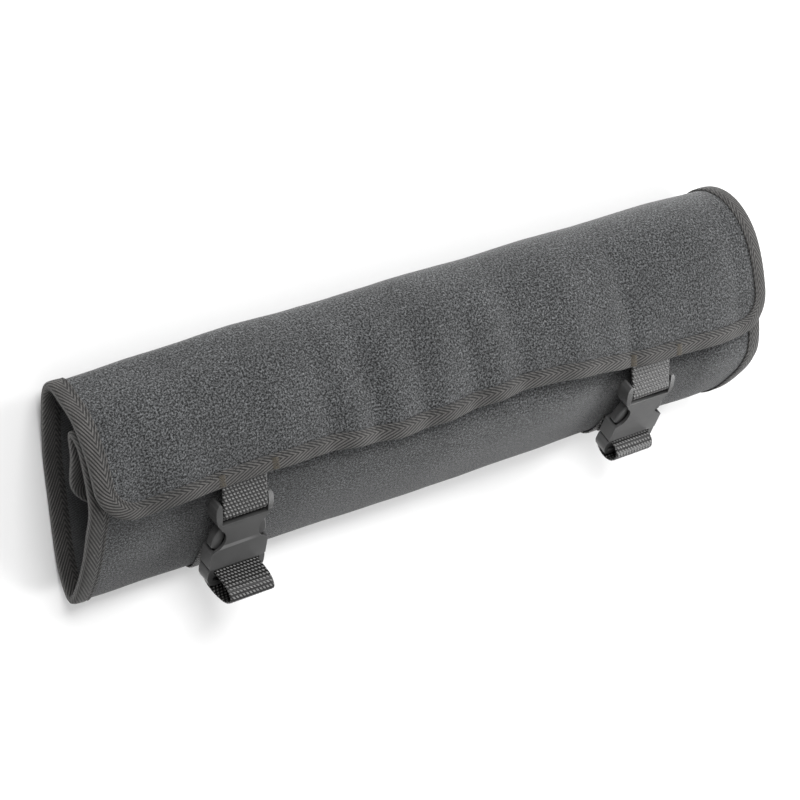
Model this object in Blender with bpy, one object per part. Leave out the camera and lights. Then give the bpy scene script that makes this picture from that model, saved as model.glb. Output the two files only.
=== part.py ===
"""A rolled-up knife roll, closed with two webbing straps and side-release buckles.

The sheet of fabric and its lining wind in a spiral: from a free edge inside, round a fold
under the flap, down the front, round the bottom, up the back and over the top to the flap.
One binding tape is folded over the whole edge of the sheet. +X runs along the roll, +Y from
the bottom fold to the top fold, +Z out of the front. The roll lies on its back.
"""
import functools
import math

import bmesh
import bpy
import numpy as np
from mathutils import Vector

# Driving sizes, in metres
ROLL_LENGTH = 0.485
ROLL_WIDTH = 0.140
ROLL_DEPTH = 0.0758
OUTER_WALL = 0.0012
LINING_WALL = 0.0010
TAPE_WALL = 0.0010
TAPE_WIDTH = 0.0105
FLAP_CORNER = 0.026
INNER_CORNER = 0.018
SEAT = 0.0003

# The tape draws the roll in at its ends, as shares of the width and of the depth,
# and the roll bulges by a share of its size halfway along
END_DRAW_ACROSS = 0.015
END_DRAW_UP = 0.060
END_DRAW_REACH = 0.048
MIDDLE_BULGE = 0.016

WEBBING_WIDTH = 0.030
WEBBING_WALL = 0.0015
SEWN_LENGTH = 0.030
TURN_BACK = 0.005
STRAP_UNDER = 0.017

BUCKLE_WIDTH = 0.039
BUCKLE_DEPTH = 0.011
SOCKET_LENGTH = 0.0345
EAR_LENGTH = 0.0135
PRONG_BASE_LENGTH = 0.0140
PLASTIC_WALL = 0.0020
BAR_RADIUS = 0.0020
BAR_DOWN = -0.0054
BAR_OUT = 0.0015
PRONG_INSET = 0.0005
SLOT_LENGTH = 0.0034
SLOT_RIB = 0.0022
SLOT_EDGE = 0.0012

# The section: where the middle of the sheet lies at the left and at the right end, as
# shares of the width (across) and of the depth (up), from the inner edge to the flap's edge.
# The front wall under the flap is worked out from the flap.
INNER_PANEL = (
    # mark, left across, left up, right across, right up
    ("inner edge", -0.086, 0.430, -0.086, 0.600),
    ("inner low", 0.029, 0.417, 0.014, 0.615),
    ("inner middle", 0.150, 0.480, 0.130, 0.665),
)
FRONT_AND_BACK = (
    ("front high", -0.036, 0.688, -0.180, 0.912),
    ("front upper", -0.186, 0.580, -0.314, 0.816),
    ("front lower", -0.331, 0.452, -0.421, 0.616),
    ("front low", -0.482, 0.266, -0.503, 0.402),
    ("bottom tip", -0.540, 0.132, -0.534, 0.190),
    ("back low", -0.450, 0.036, -0.450, 0.036),
    ("back flat low", -0.300, 0.000, -0.300, 0.000),
    ("back flat high", 0.020, 0.000, 0.110, 0.000),
    ("back middle", 0.150, 0.026, 0.230, 0.014),
    ("back high", 0.285, 0.074, 0.345, 0.066),
    ("top back", 0.385, 0.138, 0.432, 0.200),
    ("top tip", 0.421, 0.245, 0.464, 0.430),
    ("top front", 0.378, 0.410, 0.429, 0.670),
)
FLAP = (
    ("flap high", 0.314, 0.580, 0.328, 0.862),
    ("flap middle", 0.193, 0.722, 0.178, 0.968),
    ("flap low", 0.050, 0.806, 0.000, 1.010),
    ("flap edge", -0.115, 0.840, -0.143, 0.990),
)

# The flap's edge rises and falls between the straps, as a share of the width
EDGE_WAVE = (
    # along, rise
    (0.00, 0.000),
    (0.16, 0.043),
    (0.30, 0.054),
    (0.42, 0.026),
    (0.60, 0.062),
    (0.70, 0.044),
    (0.78, 0.012),
    (0.90, 0.006),
    (1.00, 0.000),
)

# Soft dents and bulges, out of the cloth where the depth is above zero. Each ends where
# it has this share of its depth left, so that the back stays flat
FOLD_CUT = 0.02
EDGE_STIFF = 0.02
EDGE_FADE = 0.03
FOLDS = (
    # along, around from the inner edge, reach along, reach around, share of the depth
    (0.24, 0.80, 0.060, 0.10, 0.018),
    (0.36, 0.91, 0.045, 0.06, -0.036),
    (0.50, 0.83, 0.070, 0.11, 0.014),
    (0.62, 0.91, 0.045, 0.06, -0.030),
    (0.78, 0.90, 0.050, 0.06, -0.036),
    (0.88, 0.82, 0.060, 0.10, 0.006),
    (0.45, 0.34, 0.140, 0.06, 0.030),
)

# The front wall gives way behind each buckle, most between these shares of the way round,
# and less and less over these shares of the length beside it and of the way round
GIVE_FROM = 0.25
GIVE_TO = 0.30
GIVE_REACH_ALONG = 0.060
GIVE_REACH_AROUND = 0.08
BEHIND_BUCKLE = 0.0010
BEHIND_PRONG = 0.0040

# The two straps
STRAPS = (
    # side, along, webbing shown, its lean, the buckle's lean, how far the tail stands out
    ("left", 0.1926, 0.0262, 6.0, 23.0, 0.0240),
    ("right", 0.8070, 0.0260, 3.0, 32.0, 0.0125),
)

SHEET_ROWS = 34
CORNER_STEPS = 4
COLUMN_COUNT = 4
DRAWN_COLUMNS = (0.42, 0.65, 1.0)

OUTER_FACE = SEAT / 2 + OUTER_WALL
LINING_FACE = SEAT / 2 + LINING_WALL
TAPE_OUT = OUTER_FACE + SEAT + TAPE_WALL
TAPE_IN = LINING_FACE + SEAT + TAPE_WALL
SHEET_INSET = TAPE_WALL + SEAT
WEBBING_SEAT = SEAT + WEBBING_WALL / 2
UNDER_FLAP = TAPE_IN + 2 * WEBBING_SEAT + SEAT + OUTER_FACE
END_LIFT = TAPE_OUT + SEAT - OUTER_FACE
FOLD_RADIUS = TAPE_IN + 0.0009
FOLD_PLACE = 0.40
SLOT_DOWN = SOCKET_LENGTH + SEAT + SLOT_EDGE + SLOT_LENGTH / 2


def clear_scene():
    for old in list(bpy.data.objects):
        bpy.data.objects.remove(old, do_unlink=True)


def material(name, colour, roughness):
    made = bpy.data.materials.new(name)
    made.use_nodes = True
    shader = made.node_tree.nodes["Principled BSDF"]
    shader.inputs["Base Color"].default_value = (*colour, 1.0)
    shader.inputs["Roughness"].default_value = roughness
    shader.inputs["Metallic"].default_value = 0.0
    made.diffuse_color = (*colour, 1.0)
    return made


def add_object(name, shape, finish, parent):
    """Turns a bmesh into an object, shaded smooth but for its real corners."""
    mesh = bpy.data.meshes.new(name)
    bmesh.ops.recalc_face_normals(shape, faces=shape.faces)
    shape.to_mesh(mesh)
    shape.free()
    mesh.materials.append(finish)
    mesh.shade_smooth()
    mesh.set_sharp_from_angle(angle=math.radians(35))
    made = bpy.data.objects.new(name, mesh)
    made.parent = parent
    bpy.context.scene.collection.objects.link(made)
    return made


def smooth_curve(points, steps):
    """A Catmull-Rom curve through the points, with this many steps to each stretch."""
    points = np.asarray(points, float)
    padded = np.vstack([2 * points[0] - points[1], points, 2 * points[-1] - points[-2]])
    curve = []
    for i in range(len(points) - 1):
        before, start, end, after = padded[i : i + 4]
        for t in np.arange(steps) / steps:
            curve.append(
                0.5
                * (
                    2 * start
                    + (end - before) * t
                    + (2 * before - 5 * start + 4 * end - after) * t**2
                    + (3 * start - 3 * end + after - before) * t**3
                )
            )
    curve.append(points[-1])
    return np.array(curve)


def arc_lengths(points):
    return np.concatenate([[0], np.cumsum(np.linalg.norm(np.diff(points, axis=0), axis=1))])


def edge_wave(along):
    table = np.array(EDGE_WAVE)
    eased = smooth_curve(table, 8)
    return np.interp(along, eased[:, 0], eased[:, 1]) * ROLL_WIDTH


class Section:
    """The middle of the sheet in the plane at one place along the roll."""

    known = {}

    def __init__(self, x):
        along = np.clip(x / ROLL_LENGTH + 0.5, 0, 1)
        from_end = ROLL_LENGTH / 2 - abs(x)
        draw = max(0.0, 1 - from_end / END_DRAW_REACH) ** 2
        bulge = MIDDLE_BULGE * math.sin(math.pi * along)
        lift = (END_DRAW_REACH - from_end) / (END_DRAW_REACH - TAPE_WIDTH)
        self.floor = OUTER_FACE + END_LIFT * np.clip(lift, 0, 1)
        self.width = ROLL_WIDTH * (1 + bulge - END_DRAW_ACROSS * draw)
        self.depth = ROLL_DEPTH * (1 + bulge - END_DRAW_UP * draw)
        inner = self.marks(INNER_PANEL, along)
        front = self.marks(FRONT_AND_BACK, along)
        flap = self.marks(FLAP, along)
        flap[-1, 0] += edge_wave(along)
        flap[-2, 0] += edge_wave(along) / 3
        path = np.vstack([inner, self.fold_under(flap), front, flap])
        self.path = smooth_curve(path, 12)
        self.path[:, 1] = np.maximum(self.path[:, 1], self.floor)
        self.lengths = arc_lengths(self.path)

    def marks(self, table, along):
        rows = np.array([row[1:] for row in table])
        place = rows[:, 0:2] * (1 - along) + rows[:, 2:4] * along
        across = place[:, 0] * self.width
        up = self.floor + place[:, 1] * self.depth
        return np.column_stack([across, up])

    @staticmethod
    def fold_under(flap):
        """The fold between the inner panel and the front wall, which lies under the flap."""
        ways = np.gradient(flap, axis=0)
        ways /= np.linalg.norm(ways, axis=1)[:, None]
        inwards = np.column_stack([-ways[:, 1], ways[:, 0]])
        under = flap + UNDER_FLAP * inwards
        start = under[0] + FOLD_PLACE * (under[1] - under[0])
        middle = start + FOLD_RADIUS * inwards[0]
        tip = middle - FOLD_RADIUS * ways[0]
        return np.array([middle + FOLD_RADIUS * inwards[0], tip, start, under[1]])

    @classmethod
    def at(cls, x):
        key = round(x * 1e6)
        if key not in cls.known:
            cls.known[key] = cls(x)
        return cls.known[key]

    def point(self, share):
        length = share * self.lengths[-1]
        return np.array([np.interp(length, self.lengths, self.path[:, i]) for i in (0, 1)])


def sheet_length():
    return Section.at(0.0).lengths[-1]


def dent(share, x):
    """How far a soft fold moves the cloth out, and none of it near the sheet's edge."""
    along = x / ROLL_LENGTH + 0.5
    to_edge = min(
        share * sheet_length(), (1 - share) * sheet_length(), ROLL_LENGTH / 2 - abs(x)
    )
    fade = np.clip((to_edge - EDGE_STIFF) / EDGE_FADE, 0, 1)
    if fade == 0:
        return 0.0
    total = 0.0
    for strap in all_straps():
        beside = max(0.0, abs(x - strap.x) - BUCKLE_WIDTH / 2) / ROLL_LENGTH
        off = (beside / GIVE_REACH_ALONG) ** 2 + strap.give_off(share)
        total -= strap.wall_give() * max(0.0, math.exp(-off) - FOLD_CUT)
    for at, around, reach_along, reach_around, depth in FOLDS:
        off = ((along - at) / reach_along) ** 2 + ((share - around) / reach_around) ** 2
        total += depth * ROLL_DEPTH * max(0.0, math.exp(-off) - FOLD_CUT)
    return total * fade


def middle_point(share, x):
    return np.array([x, *Section.at(x).point(share)])


def outward(share, x):
    step = 0.002
    ahead = middle_point(min(share + step, 1), x)
    behind = middle_point(max(share - step, 0), x)
    way = ahead - behind
    normal = np.array([0.0, way[2], -way[1]])
    return normal / np.linalg.norm(normal)


def on_sheet(from_inner, x, out):
    """The place of a point of the flat sheet, this far outside its middle, once rolled."""
    share = from_inner / sheet_length()
    return middle_point(share, x) + (dent(share, x) + out) * outward(share, x)


def spread_rows(first, last):
    """Rows across the sheet, closer together where the cloth turns."""
    shares = np.linspace(0, 1, 400)
    points = np.array([Section.at(0.0).point(s) for s in shares])
    ways = np.diff(points, axis=0)
    angles = np.unwrap(np.arctan2(ways[:, 1], ways[:, 0]))
    turned = np.concatenate([[0], np.abs(np.diff(angles)), [0]])
    weight = np.cumsum(turned / math.radians(22) + 1 / (len(shares) * 0.055))
    distance = shares * sheet_length()
    inside = (distance > first) & (distance < last)
    even = np.linspace(weight[inside][0], weight[inside][-1], SHEET_ROWS)
    return np.interp(even, weight[inside], distance[inside])


def sheet_rows(inset):
    """(distance from the inner edge, half the length there) of each row of the sheet."""
    length = sheet_length()
    half = ROLL_LENGTH / 2
    quarter = np.linspace(0, math.pi / 2, CORNER_STEPS + 1)
    rows = []
    for turn in quarter[::-1]:
        reach = INNER_CORNER - inset
        rows.append(
            (INNER_CORNER - reach * math.sin(turn), half - INNER_CORNER + reach * math.cos(turn))
        )
    for place in spread_rows(INNER_CORNER, length - FLAP_CORNER)[1:-1]:
        rows.append((place, half - inset))
    for turn in quarter:
        reach = FLAP_CORNER - inset
        rows.append(
            (
                length - FLAP_CORNER + reach * math.sin(turn),
                half - FLAP_CORNER + reach * math.cos(turn),
            )
        )
    return rows


def column_shares():
    half = ROLL_LENGTH / 2 - SHEET_INSET
    from_end = [TAPE_WIDTH] + [share * END_DRAW_REACH for share in DRAWN_COLUMNS]
    side = [1.0] + [(ROLL_LENGTH / 2 - distance) / half for distance in from_end]
    side += [side[-1] * (1 - (i + 1) / (COLUMN_COUNT + 1)) for i in range(COLUMN_COUNT)]
    return [-s for s in side] + [0.0] + side[::-1]


def sheet_solid(low, high):
    """The sheet between two distances outside its middle, as one closed body."""
    shape = bmesh.new()
    layers = []
    for out in (low, high):
        layers.append(
            [
                [shape.verts.new(on_sheet(place, share * half, out)) for share in column_shares()]
                for place, half in sheet_rows(SHEET_INSET)
            ]
        )
    for rows in layers:
        for row, following in zip(rows, rows[1:]):
            for i in range(len(row) - 1):
                shape.faces.new((row[i], row[i + 1], following[i + 1], following[i]))
    edges = []
    for rows in layers:
        ring = rows[0] + [row[-1] for row in rows[1:-1]]
        ring += rows[-1][::-1] + [row[0] for row in rows[-2:0:-1]]
        edges.append(ring)
    for i in range(len(edges[0])):
        after = (i + 1) % len(edges[0])
        shape.faces.new((edges[0][i], edges[0][after], edges[1][after], edges[1][i]))
    return shape


def edge_stations():
    """(distance from the inner edge, x) all round the sheet's edge, and the way inwards."""
    length = sheet_length()
    half = ROLL_LENGTH / 2
    rows = sheet_rows(0.0)
    middle = [place for place, _ in rows[CORNER_STEPS + 1 : -CORNER_STEPS - 1]]
    shares = column_shares()[1:-1]
    stations = [((0.0, s * (half - INNER_CORNER)), (1.0, 0.0)) for s in shares]
    stations += corner(INNER_CORNER, half - INNER_CORNER, INNER_CORNER, -90)
    stations += [((place, half), (0.0, -1.0)) for place in middle]
    stations += corner(length - FLAP_CORNER, half - FLAP_CORNER, FLAP_CORNER, 0)
    stations += [((length, s * (half - FLAP_CORNER)), (-1.0, 0.0)) for s in shares[::-1]]
    stations += corner(length - FLAP_CORNER, FLAP_CORNER - half, FLAP_CORNER, 90)
    stations += [((place, -half), (0.0, 1.0)) for place in middle[::-1]]
    stations += corner(INNER_CORNER, INNER_CORNER - half, INNER_CORNER, 180)
    return stations


def corner(place, x, radius, start):
    """A quarter turn of the edge round (place, x); 0 degrees points along +X."""
    found = []
    for i in range(CORNER_STEPS + 1):
        turn = math.radians(start + 90 * i / CORNER_STEPS)
        way = (math.sin(turn), math.cos(turn))
        found.append(((place + radius * way[0], x + radius * way[1]), (-way[0], -way[1])))
    return found


def tape_profile():
    """The folded tape: (distance in from the edge, distance outside the sheet's middle)."""
    bend = 0.8 * TAPE_WALL
    return (
        (TAPE_WIDTH, TAPE_OUT),
        (bend, TAPE_OUT),
        (0.0, 0.55 * TAPE_OUT),
        (0.0, -0.55 * TAPE_IN),
        (bend, -TAPE_IN),
        (TAPE_WIDTH, -TAPE_IN),
        (TAPE_WIDTH, -LINING_FACE - SEAT),
        (TAPE_WALL, -LINING_FACE - SEAT),
        (TAPE_WALL, OUTER_FACE + SEAT),
        (TAPE_WIDTH, OUTER_FACE + SEAT),
    )


def tape_solid():
    shape = bmesh.new()
    rings = []
    for (place, x), (in_place, in_x) in edge_stations():
        ring = [
            shape.verts.new(on_sheet(place + depth * in_place, x + depth * in_x, out))
            for depth, out in tape_profile()
        ]
        rings.append(ring)
    for ring, following in zip(rings, rings[1:] + rings[:1]):
        for i in range(len(ring)):
            after = (i + 1) % len(ring)
            shape.faces.new((ring[i], ring[after], following[after], following[i]))
    return shape


def ribbon_solid(sides, x):
    """Webbing between the (y, z) paths of its two edges, which lie on both sides of x."""
    shape = bmesh.new()
    edges = []
    for side, path in zip((-1, 1), sides):
        ways = np.gradient(path, axis=0)
        ways /= np.linalg.norm(ways, axis=1)[:, None]
        lift = np.column_stack([-ways[:, 1], ways[:, 0]]) * WEBBING_WALL / 2
        across = x + side * WEBBING_WIDTH / 2
        edges.append([[shape.verts.new((across, *p)) for p in path + s * lift] for s in (-1, 1)])
    (low_left, high_left), (low_right, high_right) = edges
    rings = list(zip(low_left, low_right, high_right, high_left))
    for ring, following in zip(rings, rings[1:]):
        for i in range(4):
            after = (i + 1) % 4
            shape.faces.new((ring[i], ring[after], following[after], following[i]))
    shape.faces.new(rings[0][::-1])
    shape.faces.new(rings[-1])
    return shape


def hung_between(start, end, near):
    """Two points of a straight stretch, each this near one of its ends."""
    way = (end - start) / np.linalg.norm(end - start)
    return [start + near * way, end - near * way]


class Strap:
    """Where one strap and its buckle lie: down is along the buckle, out is off its face."""

    def __init__(self, row):
        self.side, along, shown, lean, buckle_lean, self.tail_rise = row
        self.x = (along - 0.5) * ROLL_LENGTH
        self.edge = on_sheet(sheet_length(), self.x, -TAPE_IN - WEBBING_SEAT)[1:]
        lean = math.radians(lean)
        turn = math.radians(buckle_lean)
        self.turn = turn
        self.down = np.array([-math.cos(turn), -math.sin(turn)])
        self.out = np.array([-math.sin(turn), math.cos(turn)])
        along_webbing = np.array([-math.cos(lean), -math.sin(lean)])
        off_webbing = np.array([-math.sin(lean), math.cos(lean)])
        over_bar = self.edge + (shown + BAR_DOWN) * along_webbing
        bar = over_bar - (BAR_RADIUS + WEBBING_SEAT) * off_webbing
        self.origin = bar - BAR_DOWN * self.down - BAR_OUT * self.out

    def place(self, down, out):
        return self.origin + down * self.down + out * self.out

    @staticmethod
    def give_off(share):
        return (max(0.0, GIVE_FROM - share, share - GIVE_TO) / GIVE_REACH_AROUND) ** 2

    @functools.lru_cache(maxsize=None)
    def wall_give(self):
        """How deep the front wall is pushed in to clear the buckle and the webbing behind it."""
        needs = [0.0]
        behind_prong = BUCKLE_DEPTH / 2 - PRONG_INSET + 2 * WEBBING_SEAT + BEHIND_PRONG
        for share in np.linspace(GIVE_FROM, GIVE_TO + GIVE_REACH_AROUND, 14):
            for x in self.x + np.array([-0.5, 0.0, 0.5]) * BUCKLE_WIDTH:
                outer = middle_point(share, x) + OUTER_FACE * outward(share, x)
                offset = outer[1:] - self.origin
                down = offset @ self.down
                if not -EAR_LENGTH < down < SLOT_DOWN + 1.5 * BEHIND_PRONG:
                    continue
                room = behind_prong if down > SOCKET_LENGTH else BUCKLE_DEPTH / 2
                need = offset @ self.out + room + BEHIND_BUCKLE
                needs.append(need / (math.exp(-self.give_off(share)) - FOLD_CUT))
        return max(needs)

    def upper_path(self, x):
        """Sewn under the flap, over the buckle's bar, round it and a little way back."""
        length = sheet_length()
        sewn = [
            on_sheet(length - d, x, -TAPE_IN - WEBBING_SEAT)[1:]
            for d in np.linspace(SEWN_LENGTH, 0.002, 4)
        ]
        ring = BAR_RADIUS + WEBBING_SEAT
        offset = self.edge - self.place(BAR_DOWN, BAR_OUT)
        towards = math.atan2(offset @ self.down, offset @ self.out)
        first = towards + math.acos(ring / np.linalg.norm(offset))
        around = [
            self.place(BAR_DOWN + ring * math.sin(a), BAR_OUT + ring * math.cos(a))
            for a in np.linspace(first, first + math.pi, 7)
        ]
        hanging = hung_between(sewn[-1], around[0], ring)
        free = around[0] - sewn[-1]
        returned = [
            around[-1] - share * TURN_BACK * free / np.linalg.norm(free) for share in (0.4, 1.0)
        ]
        return smooth_curve(np.array(sewn + hanging + around + returned), 3)

    def lower_path(self, x):
        """Sewn to the back, round the bottom fold, up through the slot, then the free tail."""
        length = sheet_length()
        tip = self.bottom_share() * length
        off = OUTER_FACE + WEBBING_SEAT + SEAT / 2
        face = BUCKLE_DEPTH / 2 - PRONG_INSET + WEBBING_SEAT
        end = SOCKET_LENGTH + SEAT + PRONG_BASE_LENGTH + WEBBING_SEAT
        rise = self.tail_rise
        tail = (
            (SLOT_DOWN + 0.9 * BEHIND_PRONG, -face - BEHIND_PRONG),
            (SLOT_DOWN + 0.2 * BEHIND_PRONG, -face - 0.4 * BEHIND_PRONG),
            (SLOT_DOWN, -0.55 * face),
            (SLOT_DOWN, 0.10 * face),
            (SLOT_DOWN, 0.75 * face),
            (SLOT_DOWN + 0.0006, max(0.72 * rise, 1.02 * face)),
            (SLOT_DOWN + 0.0032, 0.95 * rise),
            (SLOT_DOWN + 0.0066, rise),
            (end - 0.0006, 0.78 * rise),
            (end + 0.0018, 0.40 * rise),
            (end + 0.0018, 0.0),
            (end - 0.0008, -face + 0.0006),
            (end - 0.0038, -face - 0.0008),
        )
        free = [self.place(*point) for point in tail]
        rises = np.linspace(0.2, 1.6, 29) * STRAP_UNDER
        candidates = [on_sheet(tip - rise, x, off)[1:] - free[0] for rise in rises]
        turned = [way @ self.out / np.linalg.norm(way) for way in candidates]
        leaves = rises[int(np.argmax(turned))]
        sewn = [on_sheet(tip + d, x, off)[1:] for d in np.linspace(STRAP_UNDER, -leaves, 9)]
        hanging = hung_between(sewn[-1], free[0], BEHIND_PRONG)
        return smooth_curve(np.array(sewn + hanging + free), 4)

    def both_edges(self, path):
        return [path(self.x + side * WEBBING_WIDTH / 2) for side in (-1, 1)]

    def bottom_share(self):
        section = Section.at(self.x)
        lowest = np.argmin(section.path[:, 0])
        return section.lengths[lowest] / section.lengths[-1]


@functools.lru_cache(maxsize=None)
def all_straps():
    return [Strap(row) for row in STRAPS]


def plate(outline, low, high):
    """An outline in (across, down), drawn through from one depth to another. Up is +Y."""
    shape = bmesh.new()
    bottom = [shape.verts.new((a, -d, low)) for a, d in outline]
    face = shape.faces.new(bottom)
    grown = bmesh.ops.extrude_face_region(shape, geom=[face])
    lifted = [item for item in grown["geom"] if isinstance(item, bmesh.types.BMVert)]
    bmesh.ops.translate(shape, verts=lifted, vec=(0, 0, high - low))
    bmesh.ops.recalc_face_normals(shape, faces=shape.faces)
    return shape


def both_sides(half):
    """A closed outline from its right half, listed from top to bottom."""
    return list(half) + [(-a, d) for a, d in reversed(half)]


def block(across, down, out):
    left, right = across
    top, bottom = down
    return plate([(left, top), (right, top), (right, bottom), (left, bottom)], *out)


def rounded(shape, width):
    """Rounds the long edges of the front and back faces."""
    levels = [v.co.z for v in shape.verts]
    rims = [
        e
        for e in shape.edges
        if e.verts[0].co.z == e.verts[1].co.z and e.verts[0].co.z in (min(levels), max(levels))
    ]
    bmesh.ops.bevel(shape, geom=rims, offset=width, segments=2, profile=0.5, affect="EDGES")
    return shape


def cut_or_join(name, base, steps, finish, parent):
    """Builds one closed body from a base shape and a list of Boolean steps."""
    made = add_object(name, base, finish, parent)
    for number, (operation, shape) in enumerate(steps):
        tool = add_object(f"{name}_step_{number}", shape, finish, parent)
        tool.hide_render = True
        tool.display_type = "WIRE"
        step = made.modifiers.new(f"step {number}", "BOOLEAN")
        step.operation = operation
        step.solver = "EXACT"
        step.object = tool
    return made


def socket_shapes():
    """The socket: two ears and a bar for the webbing, then a hollow body with side windows."""
    half = BUCKLE_WIDTH / 2
    front = BUCKLE_DEPTH / 2
    length = SOCKET_LENGTH
    opening = WEBBING_WIDTH / 2 + 0.0005
    neck = opening + 0.0008
    outline = both_sides(
        (
            (opening, -0.94 * EAR_LENGTH),
            (half - 0.0024, -EAR_LENGTH),
            (half - 0.0006, -0.78 * EAR_LENGTH),
            (half, -0.45 * EAR_LENGTH),
            (half - 0.0008, -0.12 * EAR_LENGTH),
            (neck, 0.12 * length),
            (neck - 0.0026, 0.24 * length),
            (neck - 0.0034, 0.38 * length),
            (neck - 0.0022, 0.50 * length),
            (half - 0.0022, 0.58 * length),
            (half - 0.0003, 0.64 * length),
            (half - 0.0003, 0.98 * length),
            (half - 0.0010, length),
        )
    )
    body = rounded(plate(outline, -front, front), 0.0016)
    hollow = half - 1.1 * PLASTIC_WALL
    gap = block((-opening, opening), (-2 * EAR_LENGTH, 0.0), (-2 * front, 2 * front))
    bar = block(
        (-opening - 0.001, opening + 0.001),
        (BAR_DOWN - BAR_RADIUS, BAR_DOWN + BAR_RADIUS),
        (BAR_OUT - BAR_RADIUS, BAR_OUT + BAR_RADIUS),
    )
    rims = [e for e in bar.edges if abs(e.verts[0].co.x - e.verts[1].co.x) > opening]
    bmesh.ops.bevel(
        bar, geom=rims, offset=0.94 * BAR_RADIUS, segments=3, profile=0.5, affect="EDGES"
    )
    inner = front - PLASTIC_WALL
    hole = block((-hollow, hollow), (0.12 * length, 1.2 * length), (-inner, inner))
    return body, (("DIFFERENCE", gap), ("UNION", bar), ("DIFFERENCE", hole))


def prong_shapes():
    """The prong: a slotted base, two springy arms and a guide between them."""
    half = BUCKLE_WIDTH / 2
    front = BUCKLE_DEPTH / 2 - PRONG_INSET
    top = SOCKET_LENGTH + SEAT
    end = top + PRONG_BASE_LENGTH
    length = SOCKET_LENGTH
    outline = both_sides(
        (
            (half - 0.0006, top),
            (half, top + 0.0010),
            (half - 0.0004, end - 0.0052),
            (half - 0.0024, end - 0.0016),
            (half - 0.0060, end),
        )
    )
    base = rounded(plate(outline, -front, front), 0.0012)
    opening = WEBBING_WIDTH / 2 + 0.0005
    slots = [
        block(
            (-opening, opening),
            (start, start + SLOT_LENGTH),
            (-2 * front, 2 * front),
        )
        for start in (SLOT_DOWN - SLOT_LENGTH / 2, SLOT_DOWN + SLOT_LENGTH / 2 + SLOT_RIB)
    ]
    inner = BUCKLE_DEPTH / 2 - PLASTIC_WALL - 2 * SEAT
    hollow = half - 1.1 * PLASTIC_WALL - 2 * SEAT
    arms = []
    for side in (-1, 1):
        arm = [
            (hollow - 0.0036, top + 0.001),
            (hollow - 0.0044, 0.55 * length),
            (hollow - 0.0054, 0.20 * length),
            (hollow - 0.0030, 0.165 * length),
            (hollow - 0.0014, 0.25 * length),
            (hollow + 0.0004, 0.38 * length),
            (hollow + 0.0008, 0.50 * length),
            (hollow - 0.0008, 0.57 * length),
            (hollow - 0.0008, top + 0.001),
        ]
        outline = [(side * a, d) for a, d in arm]
        arms.append(plate(outline, -inner, inner))
    guide = block((-0.0016, 0.0016), (0.25 * length, top + 0.001), (-0.6 * inner, 0.6 * inner))
    steps = [("DIFFERENCE", slot) for slot in slots]
    steps += [("UNION", shape) for shape in (*arms, guide)]
    return base, steps


def build_buckle(strap, plastic, parent):
    """Both halves of the fastened buckle, leant to lie in the strap."""
    for part, shapes in (("socket", socket_shapes), ("prong", prong_shapes)):
        base, steps = shapes()
        holder = bpy.data.objects.new(f"{part}_{strap.side}_place", None)
        bpy.context.scene.collection.objects.link(holder)
        holder.parent = parent
        holder.location = (strap.x, *strap.origin)
        holder.rotation_euler = (strap.turn, 0, 0)
        cut_or_join(f"buckle_{part}_{strap.side}", base, steps, plastic, holder)


def rest_on_origin(root):
    """Moves the whole model so that the origin is below its middle, on the surface."""
    bpy.context.view_layer.update()
    graph = bpy.context.evaluated_depsgraph_get()
    corners = []
    for made in bpy.data.objects:
        if made.type != "MESH" or made.hide_render:
            continue
        solid = made.evaluated_get(graph)
        corners += [solid.matrix_world @ Vector(corner) for corner in solid.bound_box]
    low = np.min(corners, axis=0)
    high = np.max(corners, axis=0)
    root.location = (-(low[0] + high[0]) / 2, -(low[1] + high[1]) / 2, -low[2])


def main():
    clear_scene()
    fabric = material("charcoal fabric", (0.075, 0.078, 0.085), 0.85)
    twill = material("lining twill", (0.030, 0.032, 0.034), 0.80)
    tape = material("binding tape", (0.038, 0.034, 0.031), 0.75)
    webbing = material("black webbing", (0.020, 0.020, 0.021), 0.65)
    plastic = material("black plastic", (0.050, 0.050, 0.053), 0.42)

    root = bpy.data.objects.new("knife_roll", None)
    bpy.context.scene.collection.objects.link(root)

    add_object("outer_fabric", sheet_solid(SEAT / 2, OUTER_FACE), fabric, root)
    add_object("lining", sheet_solid(-LINING_FACE, -SEAT / 2), twill, root)
    add_object("edge_binding", tape_solid(), tape, root)
    for strap in all_straps():
        upper = ribbon_solid(strap.both_edges(strap.upper_path), strap.x)
        add_object(f"strap_upper_{strap.side}", upper, webbing, root)
        lower = ribbon_solid(strap.both_edges(strap.lower_path), strap.x)
        add_object(f"strap_lower_{strap.side}", lower, webbing, root)
        build_buckle(strap, plastic, root)
    rest_on_origin(root)


main()
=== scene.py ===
"""A rolled-up knife roll: heather cloth, a twill lining and a ribbed binding tape, closed with
two webbing straps and side-release buckles. +X runs along the roll, +Y from the bottom fold
to the top fold, +Z out of the front."""
import math

import bpy
import numpy as np
from mathutils import Matrix, Vector, noise


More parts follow.
